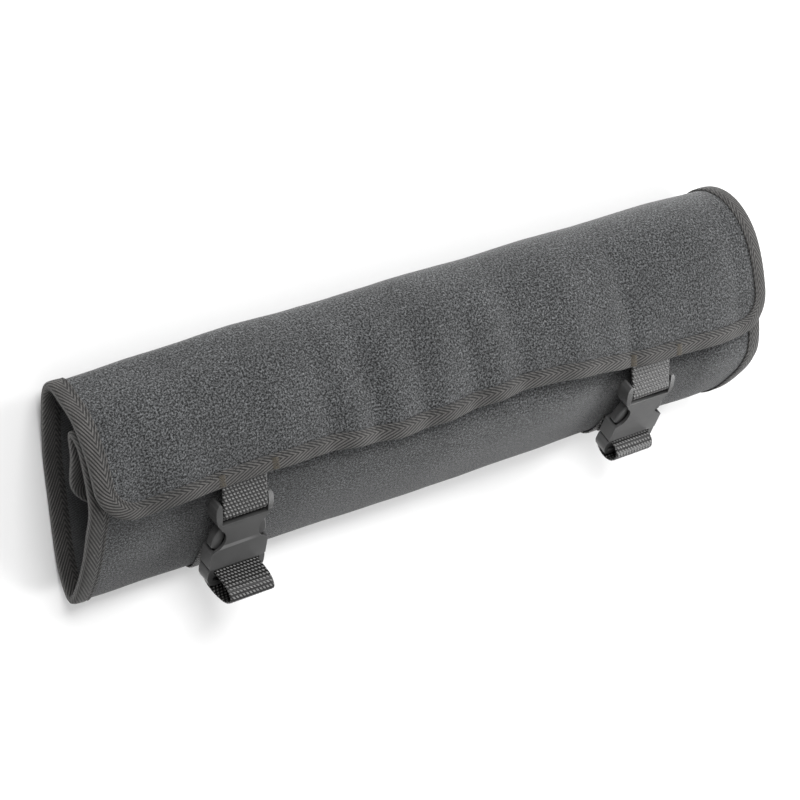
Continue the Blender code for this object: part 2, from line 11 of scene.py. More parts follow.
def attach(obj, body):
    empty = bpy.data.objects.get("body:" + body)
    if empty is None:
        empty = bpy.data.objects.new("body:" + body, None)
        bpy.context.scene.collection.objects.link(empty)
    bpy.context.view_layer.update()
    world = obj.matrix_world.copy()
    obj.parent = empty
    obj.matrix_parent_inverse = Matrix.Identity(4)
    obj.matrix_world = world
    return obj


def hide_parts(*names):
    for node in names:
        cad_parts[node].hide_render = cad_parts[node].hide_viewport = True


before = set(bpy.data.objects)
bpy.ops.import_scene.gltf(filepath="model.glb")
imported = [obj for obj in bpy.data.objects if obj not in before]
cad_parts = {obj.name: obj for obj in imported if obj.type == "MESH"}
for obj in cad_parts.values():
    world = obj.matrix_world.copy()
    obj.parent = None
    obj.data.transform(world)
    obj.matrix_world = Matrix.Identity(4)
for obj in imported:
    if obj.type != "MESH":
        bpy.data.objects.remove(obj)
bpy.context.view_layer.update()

# Sizes of the roll, in metres
ROLL_LENGTH = 0.485
ROLL_WIDTH = 0.140
ROLL_DEPTH = 0.0758
OUTER_WALL = 0.0012
LINING_WALL = 0.0010
TAPE_WALL = 0.0010
TAPE_WIDTH = 0.0105
FLAP_CORNER = 0.026
INNER_CORNER = 0.018
SEAT = 0.0003
ROOT = np.array([0.0, 0.011586, 0.000011])

END_DRAW_ACROSS = 0.015
END_DRAW_UP = 0.060
END_DRAW_REACH = 0.048
MIDDLE_BULGE = 0.016

WEBBING_WIDTH = 0.030
WEBBING_WALL = 0.0015
SEWN_LENGTH = 0.030
TURN_BACK = 0.005
STRAP_UNDER = 0.017
BEHIND_BUCKLE = 0.0010
BEHIND_PRONG = 0.0040

BUCKLE_WIDTH = 0.039
BUCKLE_DEPTH = 0.011
SOCKET_LENGTH = 0.0345
EAR_LENGTH = 0.0135
PRONG_BASE_LENGTH = 0.0140
PLASTIC_WALL = 0.0020
BAR_RADIUS = 0.0020
BAR_DOWN = -0.0054
BAR_OUT = 0.0015
PRONG_INSET = 0.0005
NOTCH_RADIUS = 0.0090
NOTCH_DEPTH = 0.0084
NOTCH_ENDS = (0.0045, 0.0195)
ARM_SEAT = 0.0007
SLOT_LENGTH = 0.0034
SLOT_RIB = 0.0022
SLOT_EDGE = 0.0012
STRAP_OPENING = WEBBING_WIDTH / 2 + 0.0005
RIGHT_THROUGH = (-0.02, 0.02)
SOCKET_RIM = 0.0008
PRONG_RIM = 0.0009
ARM_RIM = 0.0010
EAR_THINNED = 0.30
EAR_BENT = 0.0016
EAR_CORNER_DROP = 0.0005

INNER_PANEL = (
    # left across, left up, right across, right up
    (-0.086, 0.430, -0.086, 0.600),
    (0.029, 0.417, 0.014, 0.615),
    (0.150, 0.480, 0.130, 0.665),
)
FRONT_AND_BACK = (
    (-0.036, 0.688, -0.180, 0.912),
    (-0.186, 0.580, -0.314, 0.816),
    (-0.331, 0.452, -0.421, 0.616),
    (-0.482, 0.266, -0.503, 0.402),
    (-0.540, 0.132, -0.534, 0.190),
    (-0.450, 0.036, -0.450, 0.036),
    (-0.300, 0.000, -0.300, 0.000),
    (0.020, 0.000, 0.110, 0.000),
    (0.150, 0.026, 0.230, 0.014),
    (0.285, 0.074, 0.345, 0.066),
    (0.385, 0.138, 0.432, 0.200),
    (0.421, 0.245, 0.464, 0.430),
    (0.378, 0.410, 0.429, 0.670),
)
FLAP = (
    (0.314, 0.580, 0.328, 0.862),
    (0.193, 0.722, 0.178, 0.968),
    (0.050, 0.806, 0.000, 1.010),
    (-0.115, 0.840, -0.143, 0.990),
)
EDGE_WAVE = (
    (0.00, 0.000),
    (0.16, 0.043),
    (0.30, 0.054),
    (0.42, 0.026),
    (0.60, 0.062),
    (0.70, 0.044),
    (0.78, 0.012),
    (0.90, 0.006),
    (1.00, 0.000),
)
FOLD_CUT = 0.02
EDGE_STIFF = 0.02
EDGE_FADE = 0.03
FOLDS = (
    # along, around from the inner edge, reach along, reach around, share of the depth
    (0.24, 0.80, 0.060, 0.10, 0.018),
    (0.36, 0.91, 0.045, 0.06, -0.036),
    (0.50, 0.83, 0.070, 0.11, 0.014),
    (0.62, 0.91, 0.045, 0.06, -0.030),
    (0.78, 0.90, 0.050, 0.06, -0.036),
    (0.88, 0.82, 0.060, 0.10, 0.006),
    (0.45, 0.34, 0.140, 0.06, 0.030),
)
PUCKERS = (
    # along, reach along, how far out, in metres; all fade out up the flap
    (0.058, 0.020, -0.0008),
    (0.110, 0.024, 0.0006),
    (0.250, 0.020, 0.0007),
    (0.312, 0.016, -0.0009),
    (0.345, 0.014, 0.0006),
    (0.377, 0.013, -0.0009),
    (0.408, 0.014, 0.0006),
    (0.447, 0.014, -0.0008),
    (0.480, 0.013, 0.0006),
    (0.522, 0.016, -0.0010),
    (0.560, 0.014, 0.0005),
    (0.597, 0.018, -0.0010),
    (0.685, 0.026, 0.0010),
    (0.768, 0.013, -0.0010),
    (0.900, 0.030, 0.0007),
    (0.950, 0.015, -0.0006),
)
RUMPLE_DEPTH = 0.001
RUMPLE_FROM = 0.004
RUMPLE_FADE = 0.008
PUCKER_REACH = 0.060
PUCKER_DEPTH = 2.2
GIVE_FROM = 0.25
GIVE_TO = 0.30
GIVE_REACH_ALONG = 0.060
GIVE_REACH_AROUND = 0.08
STRAPS = (
    # side, along, webbing shown, its lean, the buckle's lean, how far the tail stands out
    ("left", 0.1926, 0.0262, 6.0, 23.0, 0.0240),
    ("right", 0.8070, 0.0260, 3.0, 32.0, 0.0125),
)

OUTER_FACE = SEAT / 2 + OUTER_WALL
LINING_FACE = SEAT / 2 + LINING_WALL
TAPE_OUT = OUTER_FACE + SEAT + TAPE_WALL
TAPE_IN = LINING_FACE + SEAT + TAPE_WALL
SHEET_INSET = TAPE_WALL + SEAT
WEBBING_SEAT = SEAT + WEBBING_WALL / 2
UNDER_FLAP = TAPE_IN + 2 * WEBBING_SEAT + SEAT + OUTER_FACE
END_LIFT = TAPE_OUT + SEAT - OUTER_FACE
FOLD_RADIUS = TAPE_IN + 0.0009
FOLD_PLACE = 0.40
SLOT_DOWN = SOCKET_LENGTH + SEAT + SLOT_EDGE + SLOT_LENGTH / 2

# How finely the rolled sheet is worked out
SECTION_STEP = 0.001
SHARE_COUNT = 880
OUTER_GRID = (200, 190)
LINING_GRID = (150, 150)
ROW_TURN = math.radians(9)
WEBBING_COLUMNS = 88

# Thread and weave sizes
WEB_ROW = 0.0025
WEB_DASH = 0.0023
WEB_SLANT = -0.6
WEB_RELIEF = 0.00022
TAPE_STATION_STEP = 0.0022
HIDDEN_TAPE_POINTS = 5
RIB_PITCH = 0.0017
RIB_TURN = 0.0087
RIB_SLANT = math.radians(26)
RIB_ALONG, RIB_ACROSS = math.sin(RIB_SLANT), math.cos(RIB_SLANT)
STITCH_PITCH = 0.0030
STITCH_IN = TAPE_WIDTH - 0.0016
STITCH_LENGTH = 0.86 * STITCH_PITCH
STITCH_SUNK = 0.00040
STITCH_LIFT = 0.00012
STITCH_PULL = 0.00010
STITCH_PULL_REACH = 0.0018
THREAD = 0.00052
BARTACK_WIDTH = 0.0048
BARTACK_BESIDE = 0.0026
BARTACK_ENDS = (0.0012, 0.0082)
BARTACK_PITCH = 0.00050
BARTACK_LIFT = 0.00016
SEAM_INSET = 0.0026
FLOOR_TONE = 0.825


def smooth_curve(points, steps):
    """A Catmull-Rom curve through the points, with this many steps to each stretch."""
    points = np.asarray(points, float)
    padded = np.vstack([2 * points[0] - points[1], points, 2 * points[-1] - points[-2]])
    curve = []
    for i in range(len(points) - 1):
        before, start, end, after = padded[i : i + 4]
        for t in np.arange(steps) / steps:
            squared = (2 * before - 5 * start + 4 * end - after) * t**2
            cubed = (3 * start - 3 * end + after - before) * t**3
            curve.append(0.5 * (2 * start + (end - before) * t + squared + cubed))
    curve.append(points[-1])
    return np.array(curve)


def arc_lengths(points):
    return np.concatenate([[0], np.cumsum(np.linalg.norm(np.diff(points, axis=0), axis=1))])


def points_at(path, places):
    """The path's points at these distances from its start."""
    lengths = arc_lengths(path)
    return np.column_stack([np.interp(places, lengths, path[:, i]) for i in (0, 1)])


def edge_wave(along):
    eased = smooth_curve(np.array(EDGE_WAVE), 8)
    return np.interp(along, eased[:, 0], eased[:, 1]) * ROLL_WIDTH


def marks(table, along, width, depth, floor):
    rows = np.array(table)
    place = rows[:, 0:2] * (1 - along) + rows[:, 2:4] * along
    return np.column_stack([place[:, 0] * width, floor + place[:, 1] * depth])


def fold_under(flap):
    """The fold between the inner panel and the front wall, which lies under the flap."""
    ways = np.gradient(flap, axis=0)
    ways /= np.linalg.norm(ways, axis=1)[:, None]
    inwards = np.column_stack([-ways[:, 1], ways[:, 0]])
    under = flap + UNDER_FLAP * inwards
    start = under[0] + FOLD_PLACE * (under[1] - under[0])
    middle = start + FOLD_RADIUS * inwards[0]
    tip = middle - FOLD_RADIUS * ways[0]
    return np.array([middle + FOLD_RADIUS * inwards[0], tip, start, under[1]])


def section_path(x):
    """The middle of the sheet in the plane at one place along the roll, inner edge first."""
    along = np.clip(x / ROLL_LENGTH + 0.5, 0, 1)
    from_end = ROLL_LENGTH / 2 - abs(x)
    draw = max(0.0, 1 - from_end / END_DRAW_REACH) ** 2
    bulge = MIDDLE_BULGE * math.sin(math.pi * along)
    lift = (END_DRAW_REACH - from_end) / (END_DRAW_REACH - TAPE_WIDTH)
    floor = OUTER_FACE + END_LIFT * np.clip(lift, 0, 1)
    width = ROLL_WIDTH * (1 + bulge - END_DRAW_ACROSS * draw)
    depth = ROLL_DEPTH * (1 + bulge - END_DRAW_UP * draw)
    flap = marks(FLAP, along, width, depth, floor)
    flap[-1, 0] += edge_wave(along)
    flap[-2, 0] += edge_wave(along) / 3
    inner = marks(INNER_PANEL, along, width, depth, floor)
    front = marks(FRONT_AND_BACK, along, width, depth, floor)
    path = smooth_curve(np.vstack([inner, fold_under(flap), front, flap]), 16)
    path[:, 1] = np.maximum(path[:, 1], floor)
    return path


SECTION_X = np.arange(-ROLL_LENGTH / 2, ROLL_LENGTH / 2 + SECTION_STEP / 2, SECTION_STEP)
SHARES = np.linspace(0, 1, SHARE_COUNT)


def all_sections():
    """Points and outward normals of the middle of the sheet, on a grid of x and share."""
    points = []
    for x in SECTION_X:
        path = section_path(x)
        points.append(points_at(path, SHARES * arc_lengths(path)[-1]))
    points = np.array(points)
    ways = np.gradient(points, axis=1)
    kernel = np.ones(5) / 5
    for i in (0, 1):
        for row in ways:
            row[2:-2, i] = np.convolve(row[:, i], kernel, "valid")
    normals = np.stack([ways[..., 1], -ways[..., 0]], axis=-1)
    return points, normals / np.linalg.norm(normals, axis=-1, keepdims=True)


SECTION_POINTS, SECTION_NORMALS = all_sections()
SHEET_LENGTH = arc_lengths(section_path(0.0))[-1]


def from_grid(grid, share, x):
    """Reads a grid of sections between its rows and columns."""
    i = np.clip((x - SECTION_X[0]) / SECTION_STEP, 0, len(SECTION_X) - 1.001)
    j = np.clip(share * (SHARE_COUNT - 1), 0, SHARE_COUNT - 1.001)
    i0, j0 = i.astype(int), j.astype(int)
    ti, tj = (i - i0)[..., None], (j - j0)[..., None]
    return (grid[i0, j0] * (1 - tj) + grid[i0, j0 + 1] * tj) * (1 - ti) + (
        grid[i0 + 1, j0] * (1 - tj) + grid[i0 + 1, j0 + 1] * tj
    ) * ti


def middle_and_way(share, x):
    share, x = np.broadcast_arrays(np.asarray(share, float), np.asarray(x, float))
    return from_grid(SECTION_POINTS, share, x), from_grid(SECTION_NORMALS, share, x)


class Strap:
    """Where one strap and its buckle lie: down is along the buckle, out is off its face."""

    def __init__(self, row):
        self.side, along, shown, lean, buckle_lean, self.tail_rise = row
        self.x = (along - 0.5) * ROLL_LENGTH
        middle, way = middle_and_way(1.0, self.x)
        self.edge = middle - (TAPE_IN + WEBBING_SEAT) * way
        lean = math.radians(lean)
        self.turn = math.radians(buckle_lean)
        self.down = np.array([-math.cos(self.turn), -math.sin(self.turn)])
        self.out = np.array([-math.sin(self.turn), math.cos(self.turn)])
        along_webbing = np.array([-math.cos(lean), -math.sin(lean)])
        off_webbing = np.array([-math.sin(lean), math.cos(lean)])
        over_bar = self.edge + (shown + BAR_DOWN) * along_webbing
        bar = over_bar - (BAR_RADIUS + WEBBING_SEAT) * off_webbing
        self.origin = bar - BAR_DOWN * self.down - BAR_OUT * self.out
        self.give = self.wall_give()

    def place(self, down, out):
        return self.origin + down * self.down + out * self.out

    def matrix(self):
        """Turns a buckle's own frame (+X across, -Y down, +Z out) into the roll's."""
        place = Vector((self.x, *self.origin)) + Vector(ROOT)
        return Matrix.Translation(place) @ Matrix.Rotation(self.turn, 4, "X")

    @staticmethod
    def give_weight(share):
        off = np.maximum(0.0, np.maximum(GIVE_FROM - share, share - GIVE_TO)) / GIVE_REACH_AROUND
        return off**2

    def wall_give(self):
        """How deep the front wall is pushed in to clear the buckle and the webbing behind it."""
        behind_prong = BUCKLE_DEPTH / 2 - PRONG_INSET + 2 * WEBBING_SEAT + BEHIND_PRONG
        shares = np.linspace(GIVE_FROM, GIVE_TO + GIVE_REACH_AROUND, 14)[:, None]
        across = self.x + np.array([-0.5, 0.0, 0.5]) * BUCKLE_WIDTH
        middle, way = middle_and_way(shares, across)
        offset = middle + OUTER_FACE * way - self.origin
        down = offset @ self.down
        room = np.where(down > SOCKET_LENGTH, behind_prong, BUCKLE_DEPTH / 2)
        need = (offset @ self.out + room + BEHIND_BUCKLE) / (
            np.exp(-self.give_weight(shares)) - FOLD_CUT
        )
        behind = (down > -EAR_LENGTH) & (down < SLOT_DOWN + 1.5 * BEHIND_PRONG)
        return max(0.0, need[behind].max())

    def upper_path(self, x):
        """Sewn under the flap, over the buckle's bar, round it and a little way back."""
        sewn = [
            in_section(SHEET_LENGTH - d, x, -TAPE_IN - WEBBING_SEAT)
            for d in np.linspace(SEWN_LENGTH, 0.002, 6)
        ]
        ring = BAR_RADIUS + WEBBING_SEAT
        offset = self.edge - self.place(BAR_DOWN, BAR_OUT)
        towards = math.atan2(offset @ self.down, offset @ self.out)
        first = towards + math.acos(ring / np.linalg.norm(offset))
        around = [
            self.place(BAR_DOWN + ring * math.sin(a), BAR_OUT + ring * math.cos(a))
            for a in np.linspace(first, first + math.pi, 9)
        ]
        hanging = hung_between(sewn[-1], around[0], ring)
        free = around[0] - sewn[-1]
        returned = [
            around[-1] - share * TURN_BACK * free / np.linalg.norm(free) for share in (0.4, 1.0)
        ]
        return smooth_curve(np.array(sewn + hanging + around + returned), 8)

    def lower_path(self, x):
        """Sewn to the back, round the bottom fold, up through the slot, then the free tail."""
        tip = self.bottom_share() * SHEET_LENGTH
        off = OUTER_FACE + WEBBING_SEAT + SEAT / 2
        face = BUCKLE_DEPTH / 2 - PRONG_INSET + WEBBING_SEAT
        end = SOCKET_LENGTH + SEAT + PRONG_BASE_LENGTH + WEBBING_SEAT
        rise = self.tail_rise
        tail = (
            (SLOT_DOWN + 0.9 * BEHIND_PRONG, -face - BEHIND_PRONG),
            (SLOT_DOWN + 0.2 * BEHIND_PRONG, -face - 0.4 * BEHIND_PRONG),
            (SLOT_DOWN, -0.55 * face),
            (SLOT_DOWN, 0.10 * face),
            (SLOT_DOWN, 0.75 * face),
            (SLOT_DOWN + 0.0006, max(0.72 * rise, 1.02 * face)),
            (SLOT_DOWN + 0.0032, 0.95 * rise),
            (SLOT_DOWN + 0.0066, rise),
            (end - 0.0006, 0.78 * rise),
            (end + 0.0018, 0.40 * rise),
            (end + 0.0018, 0.0),
            (end - 0.0008, -face + 0.0006),
            (end - 0.0038, -face - 0.0008),
        )
        free = [self.place(*point) for point in tail]
        rises = np.linspace(0.2, 1.6, 29) * STRAP_UNDER
        candidates = [in_section(tip - rise, x, off) - free[0] for rise in rises]
        turned = [way @ self.out / np.linalg.norm(way) for way in candidates]
        leaves = rises[int(np.argmax(turned))]
        sewn = [in_section(tip + d, x, off) for d in np.linspace(STRAP_UNDER, -leaves, 12)]
        hanging = hung_between(sewn[-1], free[0], BEHIND_PRONG)
        return smooth_curve(np.array(sewn + hanging + free), 8)

    def bottom_share(self):
        middle, _ = middle_and_way(SHARES, self.x)
        return SHARES[int(np.argmin(middle[:, 0]))]


def hung_between(start, end, near):
    way = (end - start) / np.linalg.norm(end - start)
    return [start + near * way, end - near * way]


BOTH_STRAPS = [Strap(row) for row in STRAPS]


def dent(share, x):
    """How far the soft folds move the cloth out, and none of it near the sheet's edge."""
    along = x / ROLL_LENGTH + 0.5
    to_edge = np.minimum(np.minimum(share, 1 - share) * SHEET_LENGTH, ROLL_LENGTH / 2 - abs(x))
    fade = np.clip((to_edge - EDGE_STIFF) / EDGE_FADE, 0, 1)
    total = np.zeros(np.broadcast(share, x).shape)
    for at, around, reach_along, reach_around, depth in FOLDS:
        off = ((along - at) / reach_along) ** 2 + ((share - around) / reach_around) ** 2
        total += depth * ROLL_DEPTH * np.maximum(0.0, np.exp(-off) - FOLD_CUT)
    for strap in BOTH_STRAPS:
        beside = np.maximum(0.0, abs(x - strap.x) - BUCKLE_WIDTH / 2) / ROLL_LENGTH
        off = (beside / GIVE_REACH_ALONG) ** 2 + strap.give_weight(share)
        total -= strap.give * np.maximum(0.0, np.exp(-off) - FOLD_CUT)
    return total * fade


def rumple(from_inner, x):
    """The small unevenness of the cloth, in metres: long soft waves and short faint ones."""
    soft = np.array(
        [
            noise.noise(Vector((u * 16, v * 9, 3.1))) * 0.55
            + noise.noise(Vector((u * 34 + v * 12, v * 22, 7.7))) * 0.25
            + noise.noise(Vector((u * 85, v * 60, 1.3))) * 0.07
            for u, v in zip(np.ravel(x), np.ravel(from_inner))
        ]
    ).reshape(np.shape(x))
    return soft * RUMPLE_DEPTH


def pucker(from_inner, x):
    """The small dents that the seam and the straps pull into the flap's edge, in metres."""
    along = x / ROLL_LENGTH + 0.5
    rise = np.exp(-(((SHEET_LENGTH - from_inner) / PUCKER_REACH) ** 2))
    total = sum(depth * np.exp(-(((along - at) / reach) ** 2)) for at, reach, depth in PUCKERS)
    return PUCKER_DEPTH * rise * total


def on_sheet(from_inner, x, out):
    """Places of points of the flat sheet, this far outside its middle, once rolled."""
    from_inner, x, out = np.broadcast_arrays(
        np.asarray(from_inner, float), np.asarray(x, float), np.asarray(out, float)
    )
    share = np.clip(from_inner / SHEET_LENGTH, 0, 1)
    middle, way = middle_and_way(share, x)
    lift = out + dent(share, x) + pucker(from_inner, x)
    off_back = np.clip((middle[..., 1] - RUMPLE_FROM) / RUMPLE_FADE, 0, 1)
    lift = lift + off_back * rumple(from_inner, x)
    beyond = (from_inner - share * SHEET_LENGTH)[..., None]
    along = np.stack([-way[..., 1], way[..., 0]], axis=-1)
    place = middle + lift[..., None] * way + beyond * along
    return np.concatenate([x[..., None], place], axis=-1)


def in_section(from_inner, x, out):
    return on_sheet(from_inner, x, out)[1:]


# Making meshes


def deselect():
    if bpy.context.mode != "OBJECT":
        bpy.ops.object.mode_set(mode="OBJECT")
    bpy.ops.object.select_all(action="DESELECT")


def only(made):
    """Makes this piece the only selected one, and the active one."""
    deselect()
    made.select_set(True)
    bpy.context.view_layer.objects.active = made


def mode(name):
    bpy.ops.object.mode_set(mode=name)


def edit_all():
    mode("EDIT")
    bpy.ops.mesh.select_all(action="SELECT")


def named(name):
    """The object just added, under this name, as the only one selected."""
    made = bpy.context.object
    made.name = name
    made.data.name = name
    return made


def grid_on(name, places, flat, closed=False):
    """A grid whose rows and columns of vertices are moved to these places, with its flat place
    in metres as its UV map."""
    rows, columns = places.shape[:2]
    deselect()
    bpy.ops.mesh.primitive_grid_add(x_subdivisions=columns - 1, y_subdivisions=rows - 1, size=1)
    made = named(name)
    mesh = made.data
    at = np.zeros(len(mesh.vertices) * 3)
    mesh.vertices.foreach_get("co", at)
    at = at.reshape(-1, 3)
    column = np.rint((at[:, 0] + 0.5) * (columns - 1)).astype(int)
    row = np.rint((at[:, 1] + 0.5) * (rows - 1)).astype(int)
    mesh.vertices.foreach_set("co", (places[row, column] + ROOT).ravel())
    corners = np.zeros(len(mesh.loops), int)
    mesh.loops.foreach_get("vertex_index", corners)
    mesh.uv_layers.remove(mesh.uv_layers[0])
    layer = mesh.uv_layers.new(name="flat")
    layer.data.foreach_set("uv", flat[row[corners], column[corners]].ravel())
    mesh.update()
    if closed:
        edit_all()
        bpy.ops.mesh.remove_doubles(threshold=1e-6)
        mode("OBJECT")
    return made


def outwards(made):
    """Turns every face outwards on a closed piece."""
    only(made)
    edit_all()
    bpy.ops.mesh.normals_make_consistent(inside=False)
    mode("OBJECT")
    return made


def smooth(made, angle):
    only(made)
    bpy.ops.object.shade_smooth_by_angle(angle=math.radians(angle))
    return made


def apply_modifier(made, kind, **values):
    only(made)
    step = made.modifiers.new(kind.title(), kind)
    for name, value in values.items():
        setattr(step, name, value)
    bpy.ops.object.modifier_apply(modifier=step.name)


def dressed(made, material, slot, *nodes):
    made.data.materials.clear()
    made.data.materials.append(material)
    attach(made, "root")
    if nodes:
        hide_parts(*nodes)
    return made


# The cloths and their binding


def half_length(from_inner, inset):
    """Half the sheet's length along the roll at one distance from the inner edge."""
    half = ROLL_LENGTH / 2
    reach = np.full(np.shape(from_inner), half - inset)
    ends = ((INNER_CORNER, from_inner), (FLAP_CORNER, SHEET_LENGTH - from_inner))
    for corner, from_edge in ends:
        rise = np.clip(corner - from_edge, 0, corner - inset)
        reach = np.minimum(reach, half - corner + np.sqrt((corner - inset) ** 2 - rise**2))
    return reach


def cloth_rows(count):
    """Rows across the sheet, closer together where the cloth turns tightly."""
    middle, _ = middle_and_way(SHARES, 0.0)
    ways = np.diff(middle, axis=0)
    angles = np.unwrap(np.arctan2(ways[:, 1], ways[:, 0]))
    turned = np.concatenate([[0], np.abs(np.diff(angles)), [0]])
    weight = np.cumsum(turned / ROW_TURN + count / SHARE_COUNT * 0.8)
    distance = SHEET_INSET + SHARES * (SHEET_LENGTH - 2 * SHEET_INSET)
    return np.interp(np.linspace(weight[0], weight[-1], count), weight, distance)


def make_cloth(name, low, high, rows, columns):
    """One cloth of the rolled sheet, between two distances outside the sheet's middle."""
    from_inner = cloth_rows(rows)[:, None] * np.ones(columns)
    x = np.linspace(-1, 1, columns) * half_length(from_inner, SHEET_INSET)
    places = on_sheet(from_inner, x, high)
    made = grid_on(name, places, np.stack([x, from_inner], axis=-1))
    face = made.data.polygons[rows * columns // 2]
    at = np.array([face.center.y, face.center.z]) - ROOT[1:]
    middle, ways = middle_and_way(SHARES, face.center.x)
    way = ways[int(np.argmin(np.linalg.norm(middle - at, axis=1)))]
    inwards = face.normal.y * way[0] + face.normal.z * way[1] < 0
    apply_modifier(made, "SOLIDIFY", thickness=high - low, offset=1.0 if inwards else -1.0)
    return smooth(outwards(made), 60)


def edge_stations(step):
    """(distance from the inner edge, x, the way inwards) all round the sheet's edge."""
    length, half = SHEET_LENGTH, ROLL_LENGTH / 2
    stations = []

    def side(start, end, way):
        count = max(2, round(math.dist(start, end) / step))
        for t in np.arange(count) / count:
            place = [a + (b - a) * t for a, b in zip(start, end)]
            stations.append((*place, *way))

    def corner(place, x, radius, start):
        count = max(6, round(radius * math.pi / 2 / (step * 0.8)))
        for i in range(count):
            turn = math.radians(start + 90 * i / count)
            way = (math.sin(turn), math.cos(turn))
            stations.append((place + radius * way[0], x + radius * way[1], -way[0], -way[1]))

    side((0, INNER_CORNER - half), (0, half - INNER_CORNER), (1, 0))
    corner(INNER_CORNER, half - INNER_CORNER, INNER_CORNER, -90)
    side((INNER_CORNER, half), (length - FLAP_CORNER, half), (0, -1))
    corner(length - FLAP_CORNER, half - FLAP_CORNER, FLAP_CORNER, 0)
    side((length, half - FLAP_CORNER), (length, FLAP_CORNER - half), (-1, 0))
    corner(length - FLAP_CORNER, FLAP_CORNER - half, FLAP_CORNER, 90)
    side((length - FLAP_CORNER, -half), (INNER_CORNER, -half), (0, 1))
    corner(INNER_CORNER, INNER_CORNER - half, INNER_CORNER, 180)
    stations.append(stations[0])
    return np.array(stations)


def tape_profile():
    """The folded tape, as (distance in from the edge, distance outside the sheet's middle).
    The stitching draws it down near its inner edge, and it swells a little between."""
    width = TAPE_WIDTH
    outer = (
        (width, OUTER_FACE + SEAT),
        (width + 0.00005, OUTER_FACE + SEAT + 0.4 * TAPE_WALL),
        (width - 0.0002, TAPE_OUT - 0.0002),
        (width - 0.0006, TAPE_OUT - 0.00005),
        (width - 0.0011, TAPE_OUT - 0.00015),
        (STITCH_IN, TAPE_OUT - 0.00040),
        (STITCH_IN - 0.0006, TAPE_OUT - 0.00010),
        (STITCH_IN - 0.0016, TAPE_OUT + 0.00005),
        (0.55 * width, TAPE_OUT + 0.00015),
        (0.40 * width, TAPE_OUT + 0.00015),
        (0.25 * width, TAPE_OUT + 0.00010),
        (0.13 * width, TAPE_OUT - 0.00005),
        (0.05 * width, TAPE_OUT - 0.00035),
        (0.01 * width, TAPE_OUT - 0.00090),
    )
    fold = ((-0.0001, 0.0),)
    inner = [
        (depth, -out + (TAPE_OUT - TAPE_IN) * min(1.0, max(0.0, (out - 0.0006) / 0.001)))
        for depth, out in outer[::-1]
    ]
    inside = ((0.8 * width, -LINING_FACE - SEAT), (TAPE_WALL, -LINING_FACE - SEAT))
    inside += ((TAPE_WALL, OUTER_FACE + SEAT), (0.8 * width, OUTER_FACE + SEAT))
    return np.array(outer + fold + tuple(inner) + inside + outer[:1])


def make_tape(name):
    stations = edge_stations(TAPE_STATION_STEP)
    profile = tape_profile()
    run, around = arc_lengths(stations[:, :2]), arc_lengths(profile)
    from_inner = stations[:, 0, None] + profile[:, 0] * stations[:, 2, None]
    x = stations[:, 1, None] + profile[:, 0] * stations[:, 3, None]
    pulled = STITCH_PULL * np.sin(run / STITCH_PITCH * 2 * math.pi)[:, None]
    near = np.exp(-(((profile[:, 0] - STITCH_IN) / STITCH_PULL_REACH) ** 2))
    outer_side = np.sign(profile[:, 1]) * near * pulled
    hidden = np.arange(len(profile)) >= len(profile) - HIDDEN_TAPE_POINTS
    out = profile[:, 1] + np.where(hidden, 0.0, outer_side)
    places = on_sheet(from_inner, x, out)
    from_fold = around - around[int(np.argmin(profile[:, 0]))]
    flat = np.stack([run[:, None] + 0 * x, from_fold + 0 * x], axis=-1)
    return smooth(outwards(grid_on(name, places, flat, closed=True)), 70)


# Thread


def spread_copies(name, shape, frames):
    """Copies of one small piece, each placed by its own frame, as one mesh."""
    verts = np.array([v.co for v in shape.data.vertices])
    faces = [list(p.vertices) for p in shape.data.polygons]
    all_verts, all_faces = [], []
    for turn, place in frames:
        start = len(all_verts) * len(verts)
        all_verts.append(verts @ turn.T + place)
        all_faces += [[start + i for i in face] for face in faces]
    mesh = bpy.data.meshes.new(name)
    mesh.from_pydata(np.vstack(all_verts).tolist(), [], all_faces)
    made = bpy.data.objects.new(name, mesh)
    bpy.context.scene.collection.objects.link(made)
    bpy.data.objects.remove(shape)
    return smooth(made, 80)


def make_stitch(length, thickness):
    """One stitch along +X: a thread that comes up at one end and goes down at the other."""
    deselect()
    bpy.ops.mesh.primitive_cylinder_add(
        vertices=6, radius=thickness / 2, depth=length * 0.5, rotation=(0, math.pi / 2, 0)
    )
    made = named("stitch")
    bpy.ops.object.transform_apply(location=False, rotation=True, scale=True)
    mode("EDIT")
    bpy.ops.mesh.select_all(action="DESELECT")
    for side in (-1, 1):
        for reach, drop, size in ((0.16, 0.12, 0.85), (0.10, 0.30, 0.6)):
            bpy.ops.mesh.select_mode(type="FACE")
            bpy.ops.mesh.select_all(action="DESELECT")
            mode("OBJECT")
            ends = [p for p in made.data.polygons if len(p.vertices) == 6]
            end = max(ends, key=lambda p: side * p.center.x)
            end.select = True
            mode("EDIT")
            bpy.ops.mesh.extrude_region_move(
                TRANSFORM_OT_translate={"value": (side * reach * length, 0, -drop * thickness)}
            )
            bpy.ops.transform.resize(value=(size, size, size))
    mode("OBJECT")
    return outwards(made)


def frame_on(at, along, off):
    """The turn and place of a stitch that runs along one way and stands off another."""
    along = along / np.linalg.norm(along)
    off = off - (off @ along) * along
    off /= np.linalg.norm(off)
    return np.column_stack([along, np.cross(off, along), off]), at + ROOT


def stitch_frames(from_inner, x, out, lift):
    """Frames along a line of flat places, one for each pair of neighbours."""
    places = on_sheet(from_inner, x, out)
    off_places = on_sheet(from_inner, x, out + math.copysign(0.001, lift))
    frames = []
    for i in range(len(places) - 1):
        middle = (places[i] + places[i + 1]) / 2
        off = (off_places[i] + off_places[i + 1]) / 2 - middle
        way = places[i + 1] - places[i]
        off /= np.linalg.norm(off)
        frames.append(frame_on(middle + abs(lift) * off, way, off))
    return frames


